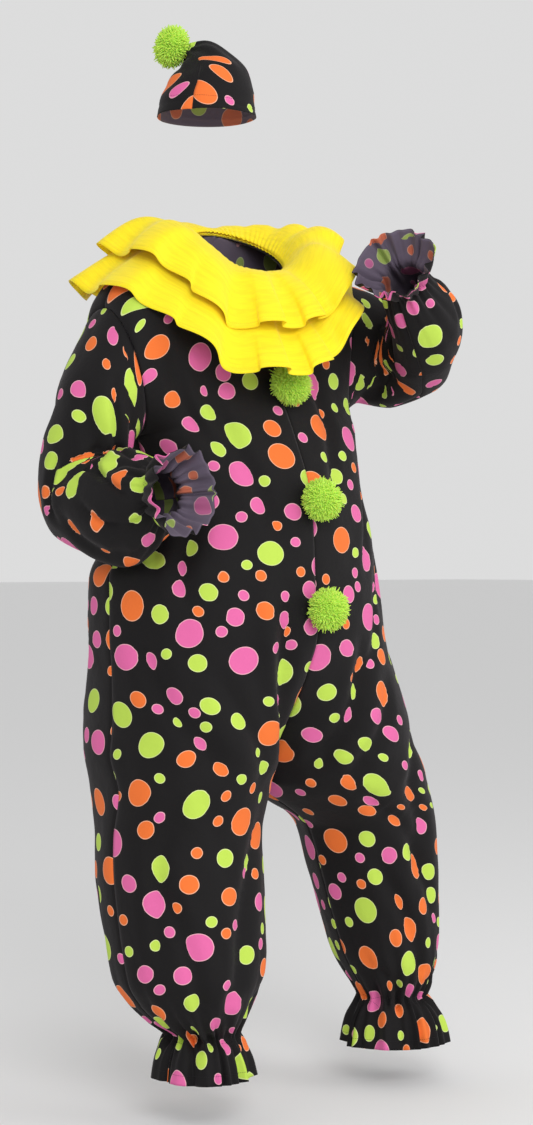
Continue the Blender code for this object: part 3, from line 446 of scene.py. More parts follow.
def armhole_point(side, face, turn):
    """Points on the armhole oval: middle + cos(turn) half height + sin(turn) bulge."""
    hole = ARMHOLES[side]
    top = np.array(hole.top)
    underarm = np.array(hole.underarm)
    bulge = np.array(hole.front if face == "front" else hole.back)
    angle = np.radians(turn)[:, None]
    return (top + underarm) / 2 + np.cos(angle) * (top - underarm) / 2 + np.sin(angle) * bulge


def neck_point(side, face, turn):
    """Points on the neck oval, turn degrees from its side towards the centre front or back."""
    sign = -1 if side == "right" else 1
    y, z = NECK_FRONT if face == "front" else NECK_BACK
    c = np.cos(np.radians(turn))
    s = np.sin(np.radians(turn))
    return np.stack([sign * NECK_HALF_WIDTH * c, y * s, NECK_SIDE_Z + (z - NECK_SIDE_Z) * s], axis=1)


def body_rows(side, face, at, across):
    """Points of a body panel: each row is one cubic curve from the inner seam to the outer one.

    On the trunk the curve is a quarter of an oval; down the rise it turns into half an oval
    round the leg.
    """
    c = Level(*read(side_table(side), at).T[: len(Level._fields)])
    side_y, closed_y = read(side_table(side), at).T[len(Level._fields) :]
    depth = c.front_y if face == "front" else c.back_y
    z = c.front_z if face == "front" else c.back_z
    outer_x = c.right_x if side == "right" else c.left_x
    closed = c.closed
    inner = np.stack([c.seam_x, depth + closed * (closed_y - depth), z], axis=1)
    inner = np.where((at <= NECK_ROW)[:, None], neck_point(side, face, c.neck), inner)
    outer = np.stack([outer_x, side_y, c.side_z], axis=1)
    outer = np.where((at <= UNDERARM_ROW)[:, None], armhole_point(side, face, c.arm), outer)

    face_y = np.where(at <= NECK_ROW, inner[:, 1], depth)
    fall = outer[:, 2] - inner[:, 2]
    handle_in = inner.copy()
    handle_in[:, 0] += np.maximum(1 - closed, LEG_PARTING) * QUARTER_ARC * (outer[:, 0] - inner[:, 0])
    handle_in[:, 2] += SHOULDER_EASE[0] * fall
    handle_out = outer.copy()
    handle_out[:, 2] -= SHOULDER_EASE[1] * fall
    peak = closed_y + HALF_ARC * (depth - closed_y)
    fullness = FORK_FULLNESS * closed * (1 - closed) * (depth - closed_y)
    handle_in[:, 1] = face_y + closed * (peak - face_y) + fullness
    trunk_out_y = outer[:, 1] + QUARTER_ARC * (face_y - outer[:, 1])
    handle_out[:, 1] = trunk_out_y + closed * (peak - trunk_out_y) + fullness

    s = across[None, :, None]
    points = [control[:, None, :] for control in (inner, handle_in, handle_out, outer)]
    return (
        points[0] * (1 - s) ** 3
        + 3 * points[1] * s * (1 - s) ** 2
        + 3 * points[2] * s**2 * (1 - s)
        + points[3] * s**3
    )


def ring_table(cuffs, out_side, sign):
    """Rings as rows of numbers: the centre, then the out, inward, front and back half vectors."""
    heading = unit([cuff.heading for cuff in cuffs])
    out_side = np.array(out_side)
    out = unit(out_side - heading * (heading @ out_side)[:, None])
    front = sign * np.cross(out, heading)
    sizes = np.array([[cuff.out, cuff.inward, cuff.front, cuff.back] for cuff in cuffs])
    return np.hstack([
        [cuff.centre for cuff in cuffs],
        out * sizes[:, :1],
        -out * sizes[:, 1:2],
        front * sizes[:, 2:3],
        -front * sizes[:, 3:4],
    ])


def sleeve_table(side):
    """All rings of a sleeve, the armhole first."""
    hole = ARMHOLES[side]
    half = (np.array(hole.top) - np.array(hole.underarm)) / 2
    armhole = np.hstack([np.array(hole.underarm) + half, half, -half, hole.front, hole.back])
    return np.vstack([armhole, ring_table(SLEEVES[side], OUT_SIDE[side], TURN_SIGN[side])])


def ring_points(table, at, turns):
    """Points round each ring: centre + cos(turn) out or inward + sin(turn) front or back."""
    rows = read(table, at)
    centre, out, inward, front, back = (rows[:, None, 3 * i : 3 * i + 3] for i in range(5))
    angle = np.radians(turns)[None, :, None]
    c = np.cos(angle)
    s = np.sin(angle)
    return centre + np.where(c > 0, c * out, -c * inward) + np.where(s > 0, s * front, -s * back)


def even_levels(points_at, last, step):
    """Row numbers from 0 to last that lie a step apart along the cloth."""
    coarse = np.linspace(0, last, 60 * last + 1)
    line = points_at(coarse)
    along = np.concatenate([[0], np.cumsum(np.linalg.norm(np.diff(line, axis=0), axis=1))])
    return np.interp(np.linspace(0, along[-1], int(along[-1] / step) + 1), along, coarse)


def lengths(grid, axis):
    """Distance travelled along a grid's rows or columns, starting at 0."""
    steps = np.linalg.norm(np.diff(grid, axis=axis), axis=2)
    start = np.zeros_like(np.take(steps, [0], axis=axis))
    return np.concatenate([start, np.cumsum(steps, axis=axis)], axis=axis)


def grid_normals(grid, sign, wrapped=False):
    """Unit normals of a grid: the cross product of its two directions, times sign."""
    down = np.gradient(grid, axis=0)
    if wrapped:
        padded = np.concatenate([grid[:, -2:-1], grid, grid[:, 1:2]], axis=1)
        over = (padded[:, 2:] - padded[:, :-2]) / 2
    else:
        over = np.gradient(grid, axis=1)
    return unit(sign * np.cross(down, over))


# ---------------------------------------------------------------- cloth relief


def fold_line(fold):
    """Points along a fold, read from its piece's own smooth surface."""
    kind, side = fold.piece.split("_")
    t = np.linspace(0, 1, FOLD_STEPS)
    at = fold.start[0] + t * (fold.end[0] - fold.start[0])
    across = fold.start[1] + t * (fold.end[1] - fold.start[1]) + fold.bow * np.sin(np.pi * t)
    pick = np.arange(FOLD_STEPS)
    if kind == "sleeve":
        return ring_points(sleeve_table(side), at, across)[pick, pick]
    return body_rows(side, kind, at, across)[pick, pick]


def fold_relief(grid, normals):
    """Height from all folds, and how far each hides the print of the flat cut, along u and v.

    Height is a bell across each line with raised lips, tapered to its two ends: the bell is
    exp(-(away / width)^2), and the lips are a wider bell less the trough's own. A trough also
    swallows cloth, so the print jumps across its line and drifts back further away.
    """
    flat = grid.reshape(-1, 3)
    relief = np.zeros(len(flat))
    hidden = np.zeros((len(flat), 2))
    over = unit(np.gradient(grid, axis=1)).reshape(-1, 3)
    down = unit(np.gradient(grid, axis=0)).reshape(-1, 3)
    facing = normals.reshape(-1, 3)
    for fold in FOLDS:
        line = fold_line(fold)
        reach = 9 * fold.width + 0.03
        near = np.flatnonzero(np.all((flat > line.min(0) - reach) & (flat < line.max(0) + reach), axis=1))
        if not len(near):
            continue
        apart = flat[near, None] - line[None]
        away = np.linalg.norm(apart, axis=2)
        spot = away.argmin(axis=1)
        away = away[np.arange(len(near)), spot]
        t = spot / (FOLD_STEPS - 1)
        taper = ease(np.minimum(t, 1 - t) * 3.2 + 0.12)
        bell = np.exp(-((away / fold.width) ** 2))
        lips = np.exp(-((away / (2.1 * fold.width)) ** 2)) - bell
        relief[near] += fold.depth * taper * (bell - LIP * lips)
        if fold.depth > 0:
            continue
        along = unit(np.gradient(line, axis=0))[spot]
        sideways = unit(np.cross(along, facing[near]))
        side = (apart[np.arange(len(near)), spot] * sideways).sum(axis=1)
        jump = -SWALLOW * fold.depth * taper * np.tanh(side / (0.22 * fold.width))
        jump = jump * np.exp(-((away / (4.5 * fold.width + 0.02)) ** 2))
        hidden[near, 0] += jump * (sideways * over[near]).sum(axis=1)
        hidden[near, 1] -= jump * (sideways * down[near]).sum(axis=1)
    return relief.reshape(grid.shape[:2]), hidden.reshape(*grid.shape[:2], 2)


def drape_relief(grid):
    """Gentle hanging waves, long up and down and short across: a sum of bent sines of the place."""
    x, y, z = np.moveaxis(grid, 2, 0)
    bend = 0.9 * np.sin(5.1 * z + 7 * x) + 0.7 * np.sin(9.3 * z - 6 * y + 1.3)
    soft = np.sin(38 * x + 25 * y + bend * 1.6 + 2.1 * z) * np.cos(6.5 * z + 3 * y + 0.6)
    fine = np.sin(71 * x - 52 * y + 1.8 * bend + 11 * z) * np.sin(14 * z + 9 * x + 1.9)
    crush = np.sin(120 * x + 30 * z + 2 * bend) * np.sin(95 * z - 60 * y + bend)
    return 0.0021 * soft + 0.0009 * fine + 0.00035 * crush


def uneven(share, waves, seed):
    """A row of pleats between two seams: sine waves whose spacing and height wander, 0 at both ends."""
    place = share + 0.35 / waves * (
        np.sin(2 * np.pi * 2 * share) * np.cos(seed) + np.sin(2 * np.pi * 5 * share) * np.sin(2.3 * seed)
    )
    height = 0.78 + 0.22 * np.cos(2 * np.pi * 3 * share + seed) * np.cos(2 * np.pi * 7 * share - 2 * seed)
    return height * np.sin(2 * np.pi * waves * place)


def gather_relief(share, below, gathers, flutes):
    """Pleats round an elastic: they die away above it, and turn into growing flutes below it.

    below is the distance past the elastic. Above it height falls as exp(-(distance / reach)); a
    flute grows as 1 - exp(-(distance / reach)).
    """
    above = np.maximum(-below, 0)
    under = np.maximum(below, 0)
    relief = np.zeros(np.broadcast(share, below).shape)
    for gather in gathers:
        wander = 1 + 0.45 * np.sin(2 * np.pi * 4 * share + gather.seed) * np.cos(2 * np.pi * 9 * share)
        fade = np.exp(-above / (gather.reach * wander)) * np.exp(-((under / 0.022) ** 2))
        relief = relief + gather.height * uneven(share, gather.waves, gather.seed) * fade
    for flute in flutes:
        grow = 1 - np.exp(-under / flute.reach)
        relief = relief + flute.height * uneven(share, flute.waves, flute.seed) * grow
    return relief


def seam_relief(*distances):
    """A shallow groove along each seam, from the distances to it."""
    relief = 0.0
    for distance in distances:
        relief = relief - SEAM_DIP * np.exp(-((distance / SEAM_REACH) ** 2))
    return relief


# ---------------------------------------------------------------- meshes


def mesh_from(name, points, faces, materials, shades=None):
    """A mesh object from an array of points and an array of faces of one size."""
    mesh = bpy.data.meshes.new(name)
    size = faces.shape[1]
    mesh.vertices.add(len(points))
    mesh.vertices.foreach_set("co", points.reshape(-1).astype(np.float32))
    mesh.loops.add(faces.size)
    mesh.loops.foreach_set("vertex_index", faces.reshape(-1).astype(np.int32))
    mesh.polygons.add(len(faces))
    mesh.polygons.foreach_set("loop_start", np.arange(0, faces.size, size, dtype=np.int32))
    mesh.update(calc_edges=True)
    mesh.shade_smooth()
    if shades is not None:
        attribute = mesh.attributes.new("shade", "FLOAT", "POINT")
        attribute.data.foreach_set("value", shades.astype(np.float32))
    for material in materials:
        mesh.materials.append(material)
    piece = bpy.data.objects.new(name, mesh)
    bpy.context.collection.objects.link(piece)
    return piece


def make_piece(name, grid, sign, cut, thickness, materials, node):
    """A sheet on a grid of points, with its flat cut as a UV map in metres, given its thickness.

    A second material is the wrong side's.
    """
    rows, columns = grid.shape[:2]
    number = np.arange(rows * columns).reshape(rows, columns)
    quads = np.stack([number[:-1, :-1], number[1:, :-1], number[1:, 1:], number[:-1, 1:]], axis=-1)
    quads = quads.reshape(-1, 4)
    if sign < 0:
        quads = quads[:, ::-1]
    piece = mesh_from(name, grid.reshape(-1, 3), quads, materials)
    layer = piece.data.uv_layers.new(name="cut")
    layer.data.foreach_set("uv", cut.reshape(-1, 2)[quads.reshape(-1)].reshape(-1).astype(np.float32))
    wall = piece.modifiers.new("cloth thickness", "SOLIDIFY")
    wall.thickness = thickness
    wall.offset = -1
    wall.use_rim = True
    wall.material_offset = len(materials) - 1
    return settle(piece, node)


def settle(piece, node):
    """Rides the frame's one body and stands for its solid."""
    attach(piece, "root")
    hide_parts(node)
    return piece


# ---------------------------------------------------------------- the jumpsuit


def panel_grid(side, face):
    """A body panel's points with its relief, and its flat cut in metres.

    Its rows lie a step apart along the middle of the panel. The flat cut keeps the distance
    along the middle as its length, and the fuller of the worn and the cut width as its width,
    so that the print is gathered up where the cloth is.
    """
    name = f"{face}_{side}"
    last = HEM_ROW
    middle = lambda at: body_rows(side, face, at, np.array([0.5]))[:, 0]
    at = even_levels(middle, last, ROW_STEP)
    across = np.linspace(0, 1, PANEL_COLUMNS)
    smooth = body_rows(side, face, at, across)
    sign = -1 if (side == "right") == (face == "front") else 1
    normals = grid_normals(smooth, sign)

    run = lengths(smooth, 1)
    fall = lengths(smooth, 0).mean(axis=1, keepdims=True)
    elastic = np.interp(ANKLE_ROW, at, fall[:, 0])
    share = across[None, :]
    ends = np.minimum(run, run[:, -1:] - run)
    folds, hidden = fold_relief(smooth, normals)
    relief = folds + drape_relief(smooth) * ease(ends / 0.05)
    relief = relief + gather_relief(share, fall - elastic, LEG_GATHERS, LEG_FLUTES)
    relief = relief + seam_relief(ends, fall)
    grid = smooth + normals * (relief + 0.0002)[:, :, None]

    level = lengths(smooth * [1, 1, 0], 1)
    width = level[:, -1]
    hip = np.interp(9, at, width)
    crotch = np.interp(CROTCH_ROW, at, width)
    full = np.where(at > CROTCH_ROW, np.maximum(width, crotch * 0.86), width)
    closed = read(TRUNK, np.minimum(at, CROTCH_ROW))[:, Level._fields.index("closed")]
    shift = np.where(at > CROTCH_ROW, crotch - hip + 0.5 * (full - crotch), closed * (width - hip))
    u = level * (full / width)[:, None] - shift[:, None]
    height = smooth[:, :, 2] - smooth[:, [PANEL_COLUMNS // 2], 2]
    hanging = ease((at[:, None] - 1.5) / 2.5)
    v = (height - fall) * hanging - lengths(smooth, 0) * (1 - hanging) + hidden[:, :, 1]
    u = u + hidden[:, :, 0]
    u = u if side == "left" else -u
    offset = {"front_right": 0.0, "front_left": 1.37, "back_right": 2.83, "back_left": 4.19}[name]
    cut = np.stack([u + offset, v + offset * 0.37], axis=2)
    return grid, sign, cut, (at, run, fall)


def spread_rows(grid):
    """A sleeve's points with crowded or crossing rows inside its bend drawn apart.

    Where a point steps along the arm by less than ROW_ROOM of the usual way, it is drawn towards
    the middle of its two neighbours along the sleeve, SPREAD_ROUNDS times. Most crossings go; a
    few rows still step back by a fraction of a millimetre.
    """
    middle = grid[:, :-1].mean(axis=1)
    way = unit(np.gradient(middle, axis=0))[:, None, :]
    grid = grid.copy()
    for _ in range(SPREAD_ROUNDS):
        step = (np.gradient(grid, axis=0) * way).sum(axis=2) / SLEEVE_STEP
        tight = 1 - ease((step - ROW_ROOM / 2) / (ROW_ROOM / 2))
        pull = (grid[2:] + grid[:-2]) / 2 - grid[1:-1]
        grid[1:-1] += 0.5 * pull * tight[1:-1, :, None]
    return grid


def creased_fall(long_fall, fall, lean):
    """How far down its cut each point of a sleeve lies, in metres.

    The cloth is marked off in lengths of CREASE_GAP on the outside of the bend. Inside each length
    the print keeps its true size; what is too long for the inside is lost in the crease between
    two lengths. lean tips the creases, column by column.
    """
    order = np.round((long_fall + lean) / CREASE_GAP)
    centre = np.arange(order.min(), order.max() + 1) * CREASE_GAP
    row = np.interp(centre, long_fall[:, 0], np.arange(len(fall)))
    low = np.minimum(row.astype(int), len(fall) - 2)
    part = (row - low)[:, None]
    fall_there = fall[low] * (1 - part) + fall[low + 1] * part
    which = (order - order.min()).astype(int)
    start = np.take_along_axis(fall_there, which, axis=0)
    return order * CREASE_GAP + np.clip(fall - start, -CREASE_GAP, CREASE_GAP)


def sleeve_grid(side):
    """A sleeve's points with its relief, and its flat cut in metres; the columns meet underneath.

    Folds are shallower where rows crowd together inside the bend, so that the cloth runs less
    into itself; a few rows still cross there by about a millimetre.
    """
    table = sleeve_table(side)
    last = len(table) - 1
    band = last - 2
    middle = lambda at: table_middle(table, at)
    at = even_levels(middle, last, SLEEVE_STEP)
    turns = np.linspace(-180, 180, 145)
    smooth = spread_rows(ring_points(table, at, turns))
    sign = 1 if side == "right" else -1
    normals = grid_normals(smooth, sign, wrapped=True)

    run = lengths(smooth, 1)
    fall = lengths(smooth, 0)
    mean_fall = fall.mean(axis=1, keepdims=True)
    long_fall = fall.max(axis=1, keepdims=True)
    elastic = np.interp(band, at, mean_fall[:, 0])
    share = (turns[None, :] + 180) / 360
    ends = np.minimum(run, run[:, -1:] - run)
    folds, hidden = fold_relief(smooth, normals)
    room = np.linalg.norm(np.gradient(smooth, axis=0), axis=2) / SLEEVE_STEP
    relief = (folds + drape_relief(smooth) * ease(ends / 0.03)) * ease((room - 0.2) / 0.6)
    relief = relief + gather_relief(share, mean_fall - elastic, SLEEVE_GATHERS, SLEEVE_FLUTES)
    relief = relief + seam_relief(ends, fall)
    grid = smooth + normals * (relief + 0.0002)[:, :, None]
    full = np.maximum(run[:, -1], 0.42)
    u = (share - 0.5) * full[:, None]
    offset = 5.6 if side == "right" else 6.9
    lean = 0.018 * np.sin(np.radians(2 * turns) + 1.3)
    v = creased_fall(long_fall, fall, lean)
    cut = np.stack([u + offset, offset * 0.41 - v], axis=2) + hidden
    return grid, sign, cut, (at, run, mean_fall)


def table_middle(table, at):
    """Points half way round a sleeve's front and back, averaged to its middle line."""
    return ring_points(table, at, np.array([-90.0, 0.0, 90.0])).mean(axis=1)


def stitch_row(line, normals, length, gap, radius, lift):
    """Short stitches along a line of points: each a small six-sided capsule lying on the cloth.

    Returns points of every stitch and its quads.
    """
    run = np.concatenate([[0], np.cumsum(np.linalg.norm(np.diff(line, axis=0), axis=1))])
    starts = np.arange(gap, run[-1] - length - gap, length + gap)
    if not len(starts):
        return np.zeros((0, 3)), np.zeros((0, 4), int)
    place = starts[:, None] + np.array([0.0, 0.12, 0.88, 1.0]) * length
    scale = np.array([0.35, 1.0, 1.0, 0.35])
    sink = np.array([-0.8, 0.0, 0.0, -0.8]) * radius
    pick = lambda values: np.stack([np.interp(place, run, values[:, k]) for k in range(3)], axis=-1)
    centre = pick(line)
    normal = unit(pick(normals))
    along = unit(centre[:, -1:] - centre[:, :1])
    side = unit(np.cross(along, normal))
    centre = centre + normal * (lift + sink)[None, :, None]
    turn = np.radians(np.arange(0, 360, 60))
    ring = centre[:, :, None] + radius * scale[None, :, None, None] * (
        np.cos(turn)[None, None, :, None] * side[:, :, None]
        + 0.7 * np.sin(turn)[None, None, :, None] * normal[:, :, None]
    )
    points = ring.reshape(-1, 3)
    base = np.arange(len(starts) * 24).reshape(len(starts), 4, 6)
    low = base[:, :-1]
    high = base[:, 1:]
    sides = np.stack([low, np.roll(low, -1, 2), np.roll(high, -1, 2), high], axis=-1).reshape(-1, 4)
    caps = np.concatenate([
        base[:, 0][:, [3, 2, 1, 0]], base[:, 0][:, [5, 4, 3, 0]],
        base[:, 3][:, [0, 1, 2, 3]], base[:, 3][:, [0, 3, 4, 5]],
    ])
    return points, np.vstack([sides, caps])


def join_rows(rows):
    """Several sets of points and quads as one."""
    points = []
    faces = []
    count = 0
    for some_points, some_faces in rows:
        points.append(some_points)
        faces.append(some_faces + count)
        count += len(some_points)
    return np.vstack(points), np.vstack(faces)


# ---------------------------------------------------------------- ruff and hat


def ruff_grid(name):
    """One tier: an arch from the neck oval through a raised middle to the hem, deeply waved.

    A point is read at an angle round the neck and a share of the way to the hem. Waves grow as
    share^2; near the hem each wave also leans both ways over its own flanks, as a soft omega.
    """
    table = RUFF[name]
    flounce = FLOUNCES[name]
    turns = np.linspace(-180, 180, RUFF_COLUMNS + 1)
    angle = np.radians(turns)
    share = np.linspace(0, 1, RUFF_ROWS)[:, None]
    phase = flounce.waves * angle + flounce.phase
    phase = phase + 0.85 * np.sin(3 * angle + 0.8) + 0.45 * np.sin(5 * angle)
    in_front = np.exp(-(((angle + 0.35) / 0.9) ** 2))
    lean = flounce.fold_back * (0.60 + 0.30 * in_front) * share**2.2
    around = angle[None, :] - lean * np.sin(2 * phase)[None, :] / 0.21
    place = np.interp(np.degrees(angle), [reach.turn for reach in table], np.arange(len(table)))
    _, radius, z, lift = read(table, place).T
    c = np.cos(around)
    s = np.sin(around)
    y, front_z = NECK_FRONT
    back_y, back_z = NECK_BACK
    drop = np.where(c > 0, (front_z - NECK_SIDE_Z) * c, (NECK_SIDE_Z - back_z) * c)
    neck = np.stack([
        (NECK_HALF_WIDTH + RUFF_OUT) * s,
        np.where(c > 0, (y - RUFF_OUT) * c, -(back_y + RUFF_OUT) * c),
        NECK_SIDE_Z + RUFF_LAYER[name] + drop,
    ], axis=2)
    hem = np.stack([radius * s, -radius * c, np.broadcast_to(z, s.shape)], axis=2)
    middle = neck + 0.5 * (hem - neck)
    middle[:, :, 2] += lift
    t = share[:, :, None]
    smooth = neck * (1 - t) ** 2 + 2 * middle * t * (1 - t) + hem * t**2

    even = np.sin(angle)[None, :, None] * [1.0, 0, 0] - np.cos(angle)[None, :, None] * [0, 1.0, 0]
    down = np.gradient(smooth, axis=0)
    across = np.cross([0, 0, 1.0], even)
    normals = unit(np.cross(down, across))
    height = 0.92 + 0.26 * np.sin(2 * angle + 0.4) + 0.24 * np.sin(5 * angle - 0.6)
    wave = flounce.height * height * np.sin(phase) * share**1.8
    small = 0.0018 * np.sin(2 * phase + 1.0 + 2.2 * share) * share * (1 - 0.5 * share)
    pleats = 0.0013 * np.sin(flounce.neck_pleats * angle + np.sin(9 * angle)) * (1 - share) ** 7
    soft = 0.0022 * np.sin(5 * angle + 9 * share) * np.sin(np.pi * share)
    grid = smooth + normals * (wave + small + pleats + soft)[:, :, None]
    length = lengths(smooth, 0).mean(axis=1, keepdims=True)
    cut = np.stack([np.broadcast_to(angle * 0.285, wave.shape), np.broadcast_to(length, wave.shape)], axis=2)
    return grid, 1, cut


def clear_of(grid, cloth, sign, gap, reach=0.05):
    """The grid with every point that lies too near a cloth, or behind it, moved out to the gap.

    Each point is measured from the nearest point of the cloth, along that point's normal.
    """
    normals = grid_normals(cloth, sign)[::2, ::2].reshape(-1, 3)
    places = cloth[::2, ::2].reshape(-1, 3)
    low = grid.reshape(-1, 3).min(axis=0) - reach
    high = grid.reshape(-1, 3).max(axis=0) + reach
    near = np.all((places > low) & (places < high), axis=1)
    places = places[near]
    normals = normals[near]
    flat = grid.reshape(-1, 3).copy()
    for start in range(0, len(flat), 2000):
        some = flat[start : start + 2000]
        apart = (some**2).sum(1)[:, None] + (places**2).sum(1)[None] - 2 * some @ places.T
        nearest = apart.argmin(axis=1)
        away = np.sqrt(np.maximum(apart[np.arange(len(some)), nearest], 0))
        height = ((some - places[nearest]) * normals[nearest]).sum(axis=1)
        push = np.where(away < reach, np.maximum(gap - height, 0), 0)
        flat[start : start + 2000] = some + push[:, None] * normals[nearest]
    return flat.reshape(grid.shape)


def hat_grid():
    """The hat from its turned-up brim to its flopped tip, with soft dents where it bends over."""
    table = ring_table(HAT, HAT_OUT_SIDE, 1.0)
    at = np.linspace(0, len(HAT) - 1, HAT_ROWS)
    turns = np.linspace(-180, 180, HAT_COLUMNS + 1)
    smooth = ring_points(table, at, turns)
    normals = grid_normals(smooth, 1, wrapped=True)
    angle = np.radians(turns)[None, :]
    rise = at[:, None]
    run = lengths(smooth, 1)
    fall = lengths(smooth, 0).mean(axis=1, keepdims=True)
    ends = np.minimum(run, run[:, -1:] - run)
    bend = np.exp(-(((rise - 3.9) / 0.55) ** 2)) * np.exp(-(((np.cos(angle) + 0.2) / 0.9) ** 2))
    relief = -0.0050 * bend * (0.6 + 0.4 * np.sin(3 * angle + 0.6))
    relief = relief + 0.0022 * np.sin(4 * angle + 1.1 * rise + 0.5) * ease((rise - 1) / 2.5)
    relief = relief + 0.0012 * np.sin(9 * angle - 1.7 * rise) * ease((rise - 2.2) / 2)
    relief = relief + 0.0014 * np.sin(5 * angle + 0.9) * np.exp(-rise)
    relief = relief + seam_relief(ends) - 0.0010 * np.exp(-(((fall - 0.014) / 0.0022) ** 2))
    grid = smooth + normals * relief[:, :, None]
    width = run[:, -1:]
    u = (turns[None, :] / 360) * width
    cut = np.stack([u + 8.3, np.broadcast_to(fall + 2.2, u.shape)], axis=2)
    return grid, 1, cut


def yarn_ball(name, centre, facing, strands, thickness, materials, seed):
    """A pompom: bent, tapered strands of yarn that stand out of a middle in every direction.

    Directions come from an even spiral over a ball, each moved a little; every strand runs from a
    third of the way out to the surface, turns down as it goes, and ends at its own length.
    """
    rng = np.random.default_rng(seed)
    facing = unit(facing)
    side = unit(np.cross(facing, (0.0, 0.0, 1.0)))
    up = np.cross(side, facing)
    k = np.arange(strands) + 0.5
    tilt = np.arccos(1 - 2 * k / strands)
    turn = np.pi * (1 + 5**0.5) * k
    way = np.stack([np.cos(tilt), np.sin(tilt) * np.cos(turn), np.sin(tilt) * np.sin(turn)], axis=1)
    way = unit(way + rng.normal(0, 0.09, way.shape))
    basis = np.stack([facing * POMPOM_DEPTH, side * POMPOM_RADIUS, up * POMPOM_RADIUS])
    reach = rng.uniform(0.93, 1.02, strands)[:, None]
    tip = way @ basis * reach
    curl = rng.normal(0, 0.0026, (strands, 3)) + np.array([0, 0, -0.0011])
    steps = np.array([0.55, 0.86, 1.0])
    line = tip[:, None] * steps[None, :, None] + curl[:, None] * (steps**3)[None, :, None]
    line = line - curl[:, None] * 0.55 * np.sin(np.pi * steps)[None, :, None]
    along = unit(np.gradient(line, axis=1))
    away = unit(np.cross(along, rng.normal(0, 1, (strands, 1, 3))))
    other = np.cross(along, away)
    width = thickness * np.array([1.0, 1.15, 0.6]) * rng.uniform(0.8, 1.2, (strands, 1))
    turn = np.radians(np.arange(0, 360, 90))
    rings = line[:, :, None] + width[:, :, None, None] * (
        np.cos(turn)[None, None, :, None] * away[:, :, None]
        + np.sin(turn)[None, None, :, None] * other[:, :, None]
    )
    base = np.arange(strands * 12).reshape(strands, 3, 4)
    low = base[:, :-1]
    high = base[:, 1:]
    faces = np.stack([low, np.roll(low, -1, 2), np.roll(high, -1, 2), high], axis=-1).reshape(-1, 4)
    caps = np.concatenate([base[:, 0, ::-1], base[:, 2]])
    # painted shade: the shade value rises from each strand's inner end to its tip, so the yarn is painted in
    # shade towards the pompom's middle; a random amount per strand gives each strand its own tone
    shades = np.broadcast_to(steps[None, :, None], (strands, 3, 4)) * 0.75
    shades = shades + rng.uniform(0, 0.25, (strands, 1, 1))
    points = rings.reshape(-1, 3) + centre
    return mesh_from(name, points, np.vstack([faces, caps]), materials, shades.reshape(-1))


def yarn_heart(name, centre, facing, material):
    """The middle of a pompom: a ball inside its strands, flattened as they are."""
    facing = unit(facing)
    side = unit(np.cross(facing, (0.0, 0.0, 1.0)))
    up = np.cross(side, facing)
    ball = bmesh.new()
    bmesh.ops.create_icosphere(ball, subdivisions=3, radius=0.84)
    mesh = bpy.data.meshes.new(name)
    ball.to_mesh(mesh)
    ball.free()
    points = np.zeros(len(mesh.vertices) * 3)
    mesh.vertices.foreach_get("co", points)
    basis = np.stack([facing * POMPOM_DEPTH, side * POMPOM_RADIUS, up * POMPOM_RADIUS])
    if np.linalg.det(basis) < 0:
        mesh.flip_normals()
    points = points.reshape(-1, 3) @ basis + centre
    mesh.vertices.foreach_set("co", points.reshape(-1))
    shade = mesh.attributes.new("shade", "FLOAT", "POINT")
    # painted shade: the heart takes a low shade value, as yarn well inside the pompom, so it is painted
    # mostly in the shade colour of the yarn
    shade.data.foreach_set("value", np.full(len(points), 0.60, np.float32))
    mesh.shade_smooth()
    mesh.materials.append(material)
    heart = bpy.data.objects.new(name, mesh)
    bpy.context.collection.objects.link(heart)
    return heart


# ---------------------------------------------------------------- materials


class Nodes:
    """Short ways to add and join the nodes of a material or a node group."""

    def __init__(self, tree):
        self.tree = tree

    def add(self, kind, links=None, **settings):
        """A node with its settings, and its inputs joined or set by name or number."""
        node = self.tree.nodes.new(kind)
        for name, value in settings.items():
            setattr(node, name, value)
        for name, value in (links or {}).items():
            if isinstance(value, bpy.types.NodeSocket):
                self.tree.links.new(value, node.inputs[name])
            else:
                node.inputs[name].default_value = value
        return node

    def sum(self, operation, a, b=0.0, c=0.0):
        """A maths node's result."""
        return self.add("ShaderNodeMath", {0: a, 1: b, 2: c}, operation=operation).outputs[0]

    def vector(self, operation, a, b=(0, 0, 0)):
        """A vector maths node's vector result."""
        return self.add("ShaderNodeVectorMath", {0: a, 1: b}, operation=operation).outputs[0]

    def turn(self, a, angle):
        """A place turned round the origin of the flat cloth."""
        links = {"Vector": a, "Angle": angle}
        return self.add("ShaderNodeVectorRotate", links, rotation_type="Z_AXIS").outputs[0]

    def scale(self, a, by):
        """A vector made longer or shorter."""
        node = self.add("ShaderNodeVectorMath", {0: a}, operation="SCALE")
        node.inputs["Scale"].default_value = by
        return node.outputs[0]

    def mix(self, factor, a, b):
        """Two colours mixed."""
        node = self.add("ShaderNodeMix", data_type="RGBA")
        for socket, value in ((node.inputs[0], factor), (node.inputs[6], a), (node.inputs[7], b)):
            if isinstance(value, bpy.types.NodeSocket):
                self.tree.links.new(value, socket)
            else:
                socket.default_value = value if socket.type == "VALUE" else (*value, 1)[:4]
        return node.outputs[2]

    def fade(self, value, low, high):
        """1 below low, 0 above high."""
        node = self.add("ShaderNodeMapRange", {0: value, 1: low, 2: high, 3: 1.0, 4: 0.0})
        node.interpolation_type = "SMOOTHSTEP"
        return node.outputs[0]


def new_group(name, inputs, outputs):
    """An empty node group with its sockets, and its input and output nodes."""
    group = bpy.data.node_groups.new(name, "ShaderNodeTree")
    for label, kind in inputs:
        group.interface.new_socket(label, in_out="INPUT", socket_type=kind)
    for label, kind in outputs:
        group.interface.new_socket(label, in_out="OUTPUT", socket_type=kind)
    return group, group.nodes.new("NodeGroupInput"), group.nodes.new("NodeGroupOutput")


def use(nodes, group, links):
    """A node that uses a group."""
    node = nodes.tree.nodes.new("ShaderNodeGroup")
    node.node_tree = group
    for name, value in links.items():
        nodes.tree.links.new(value, node.inputs[name])
    return node


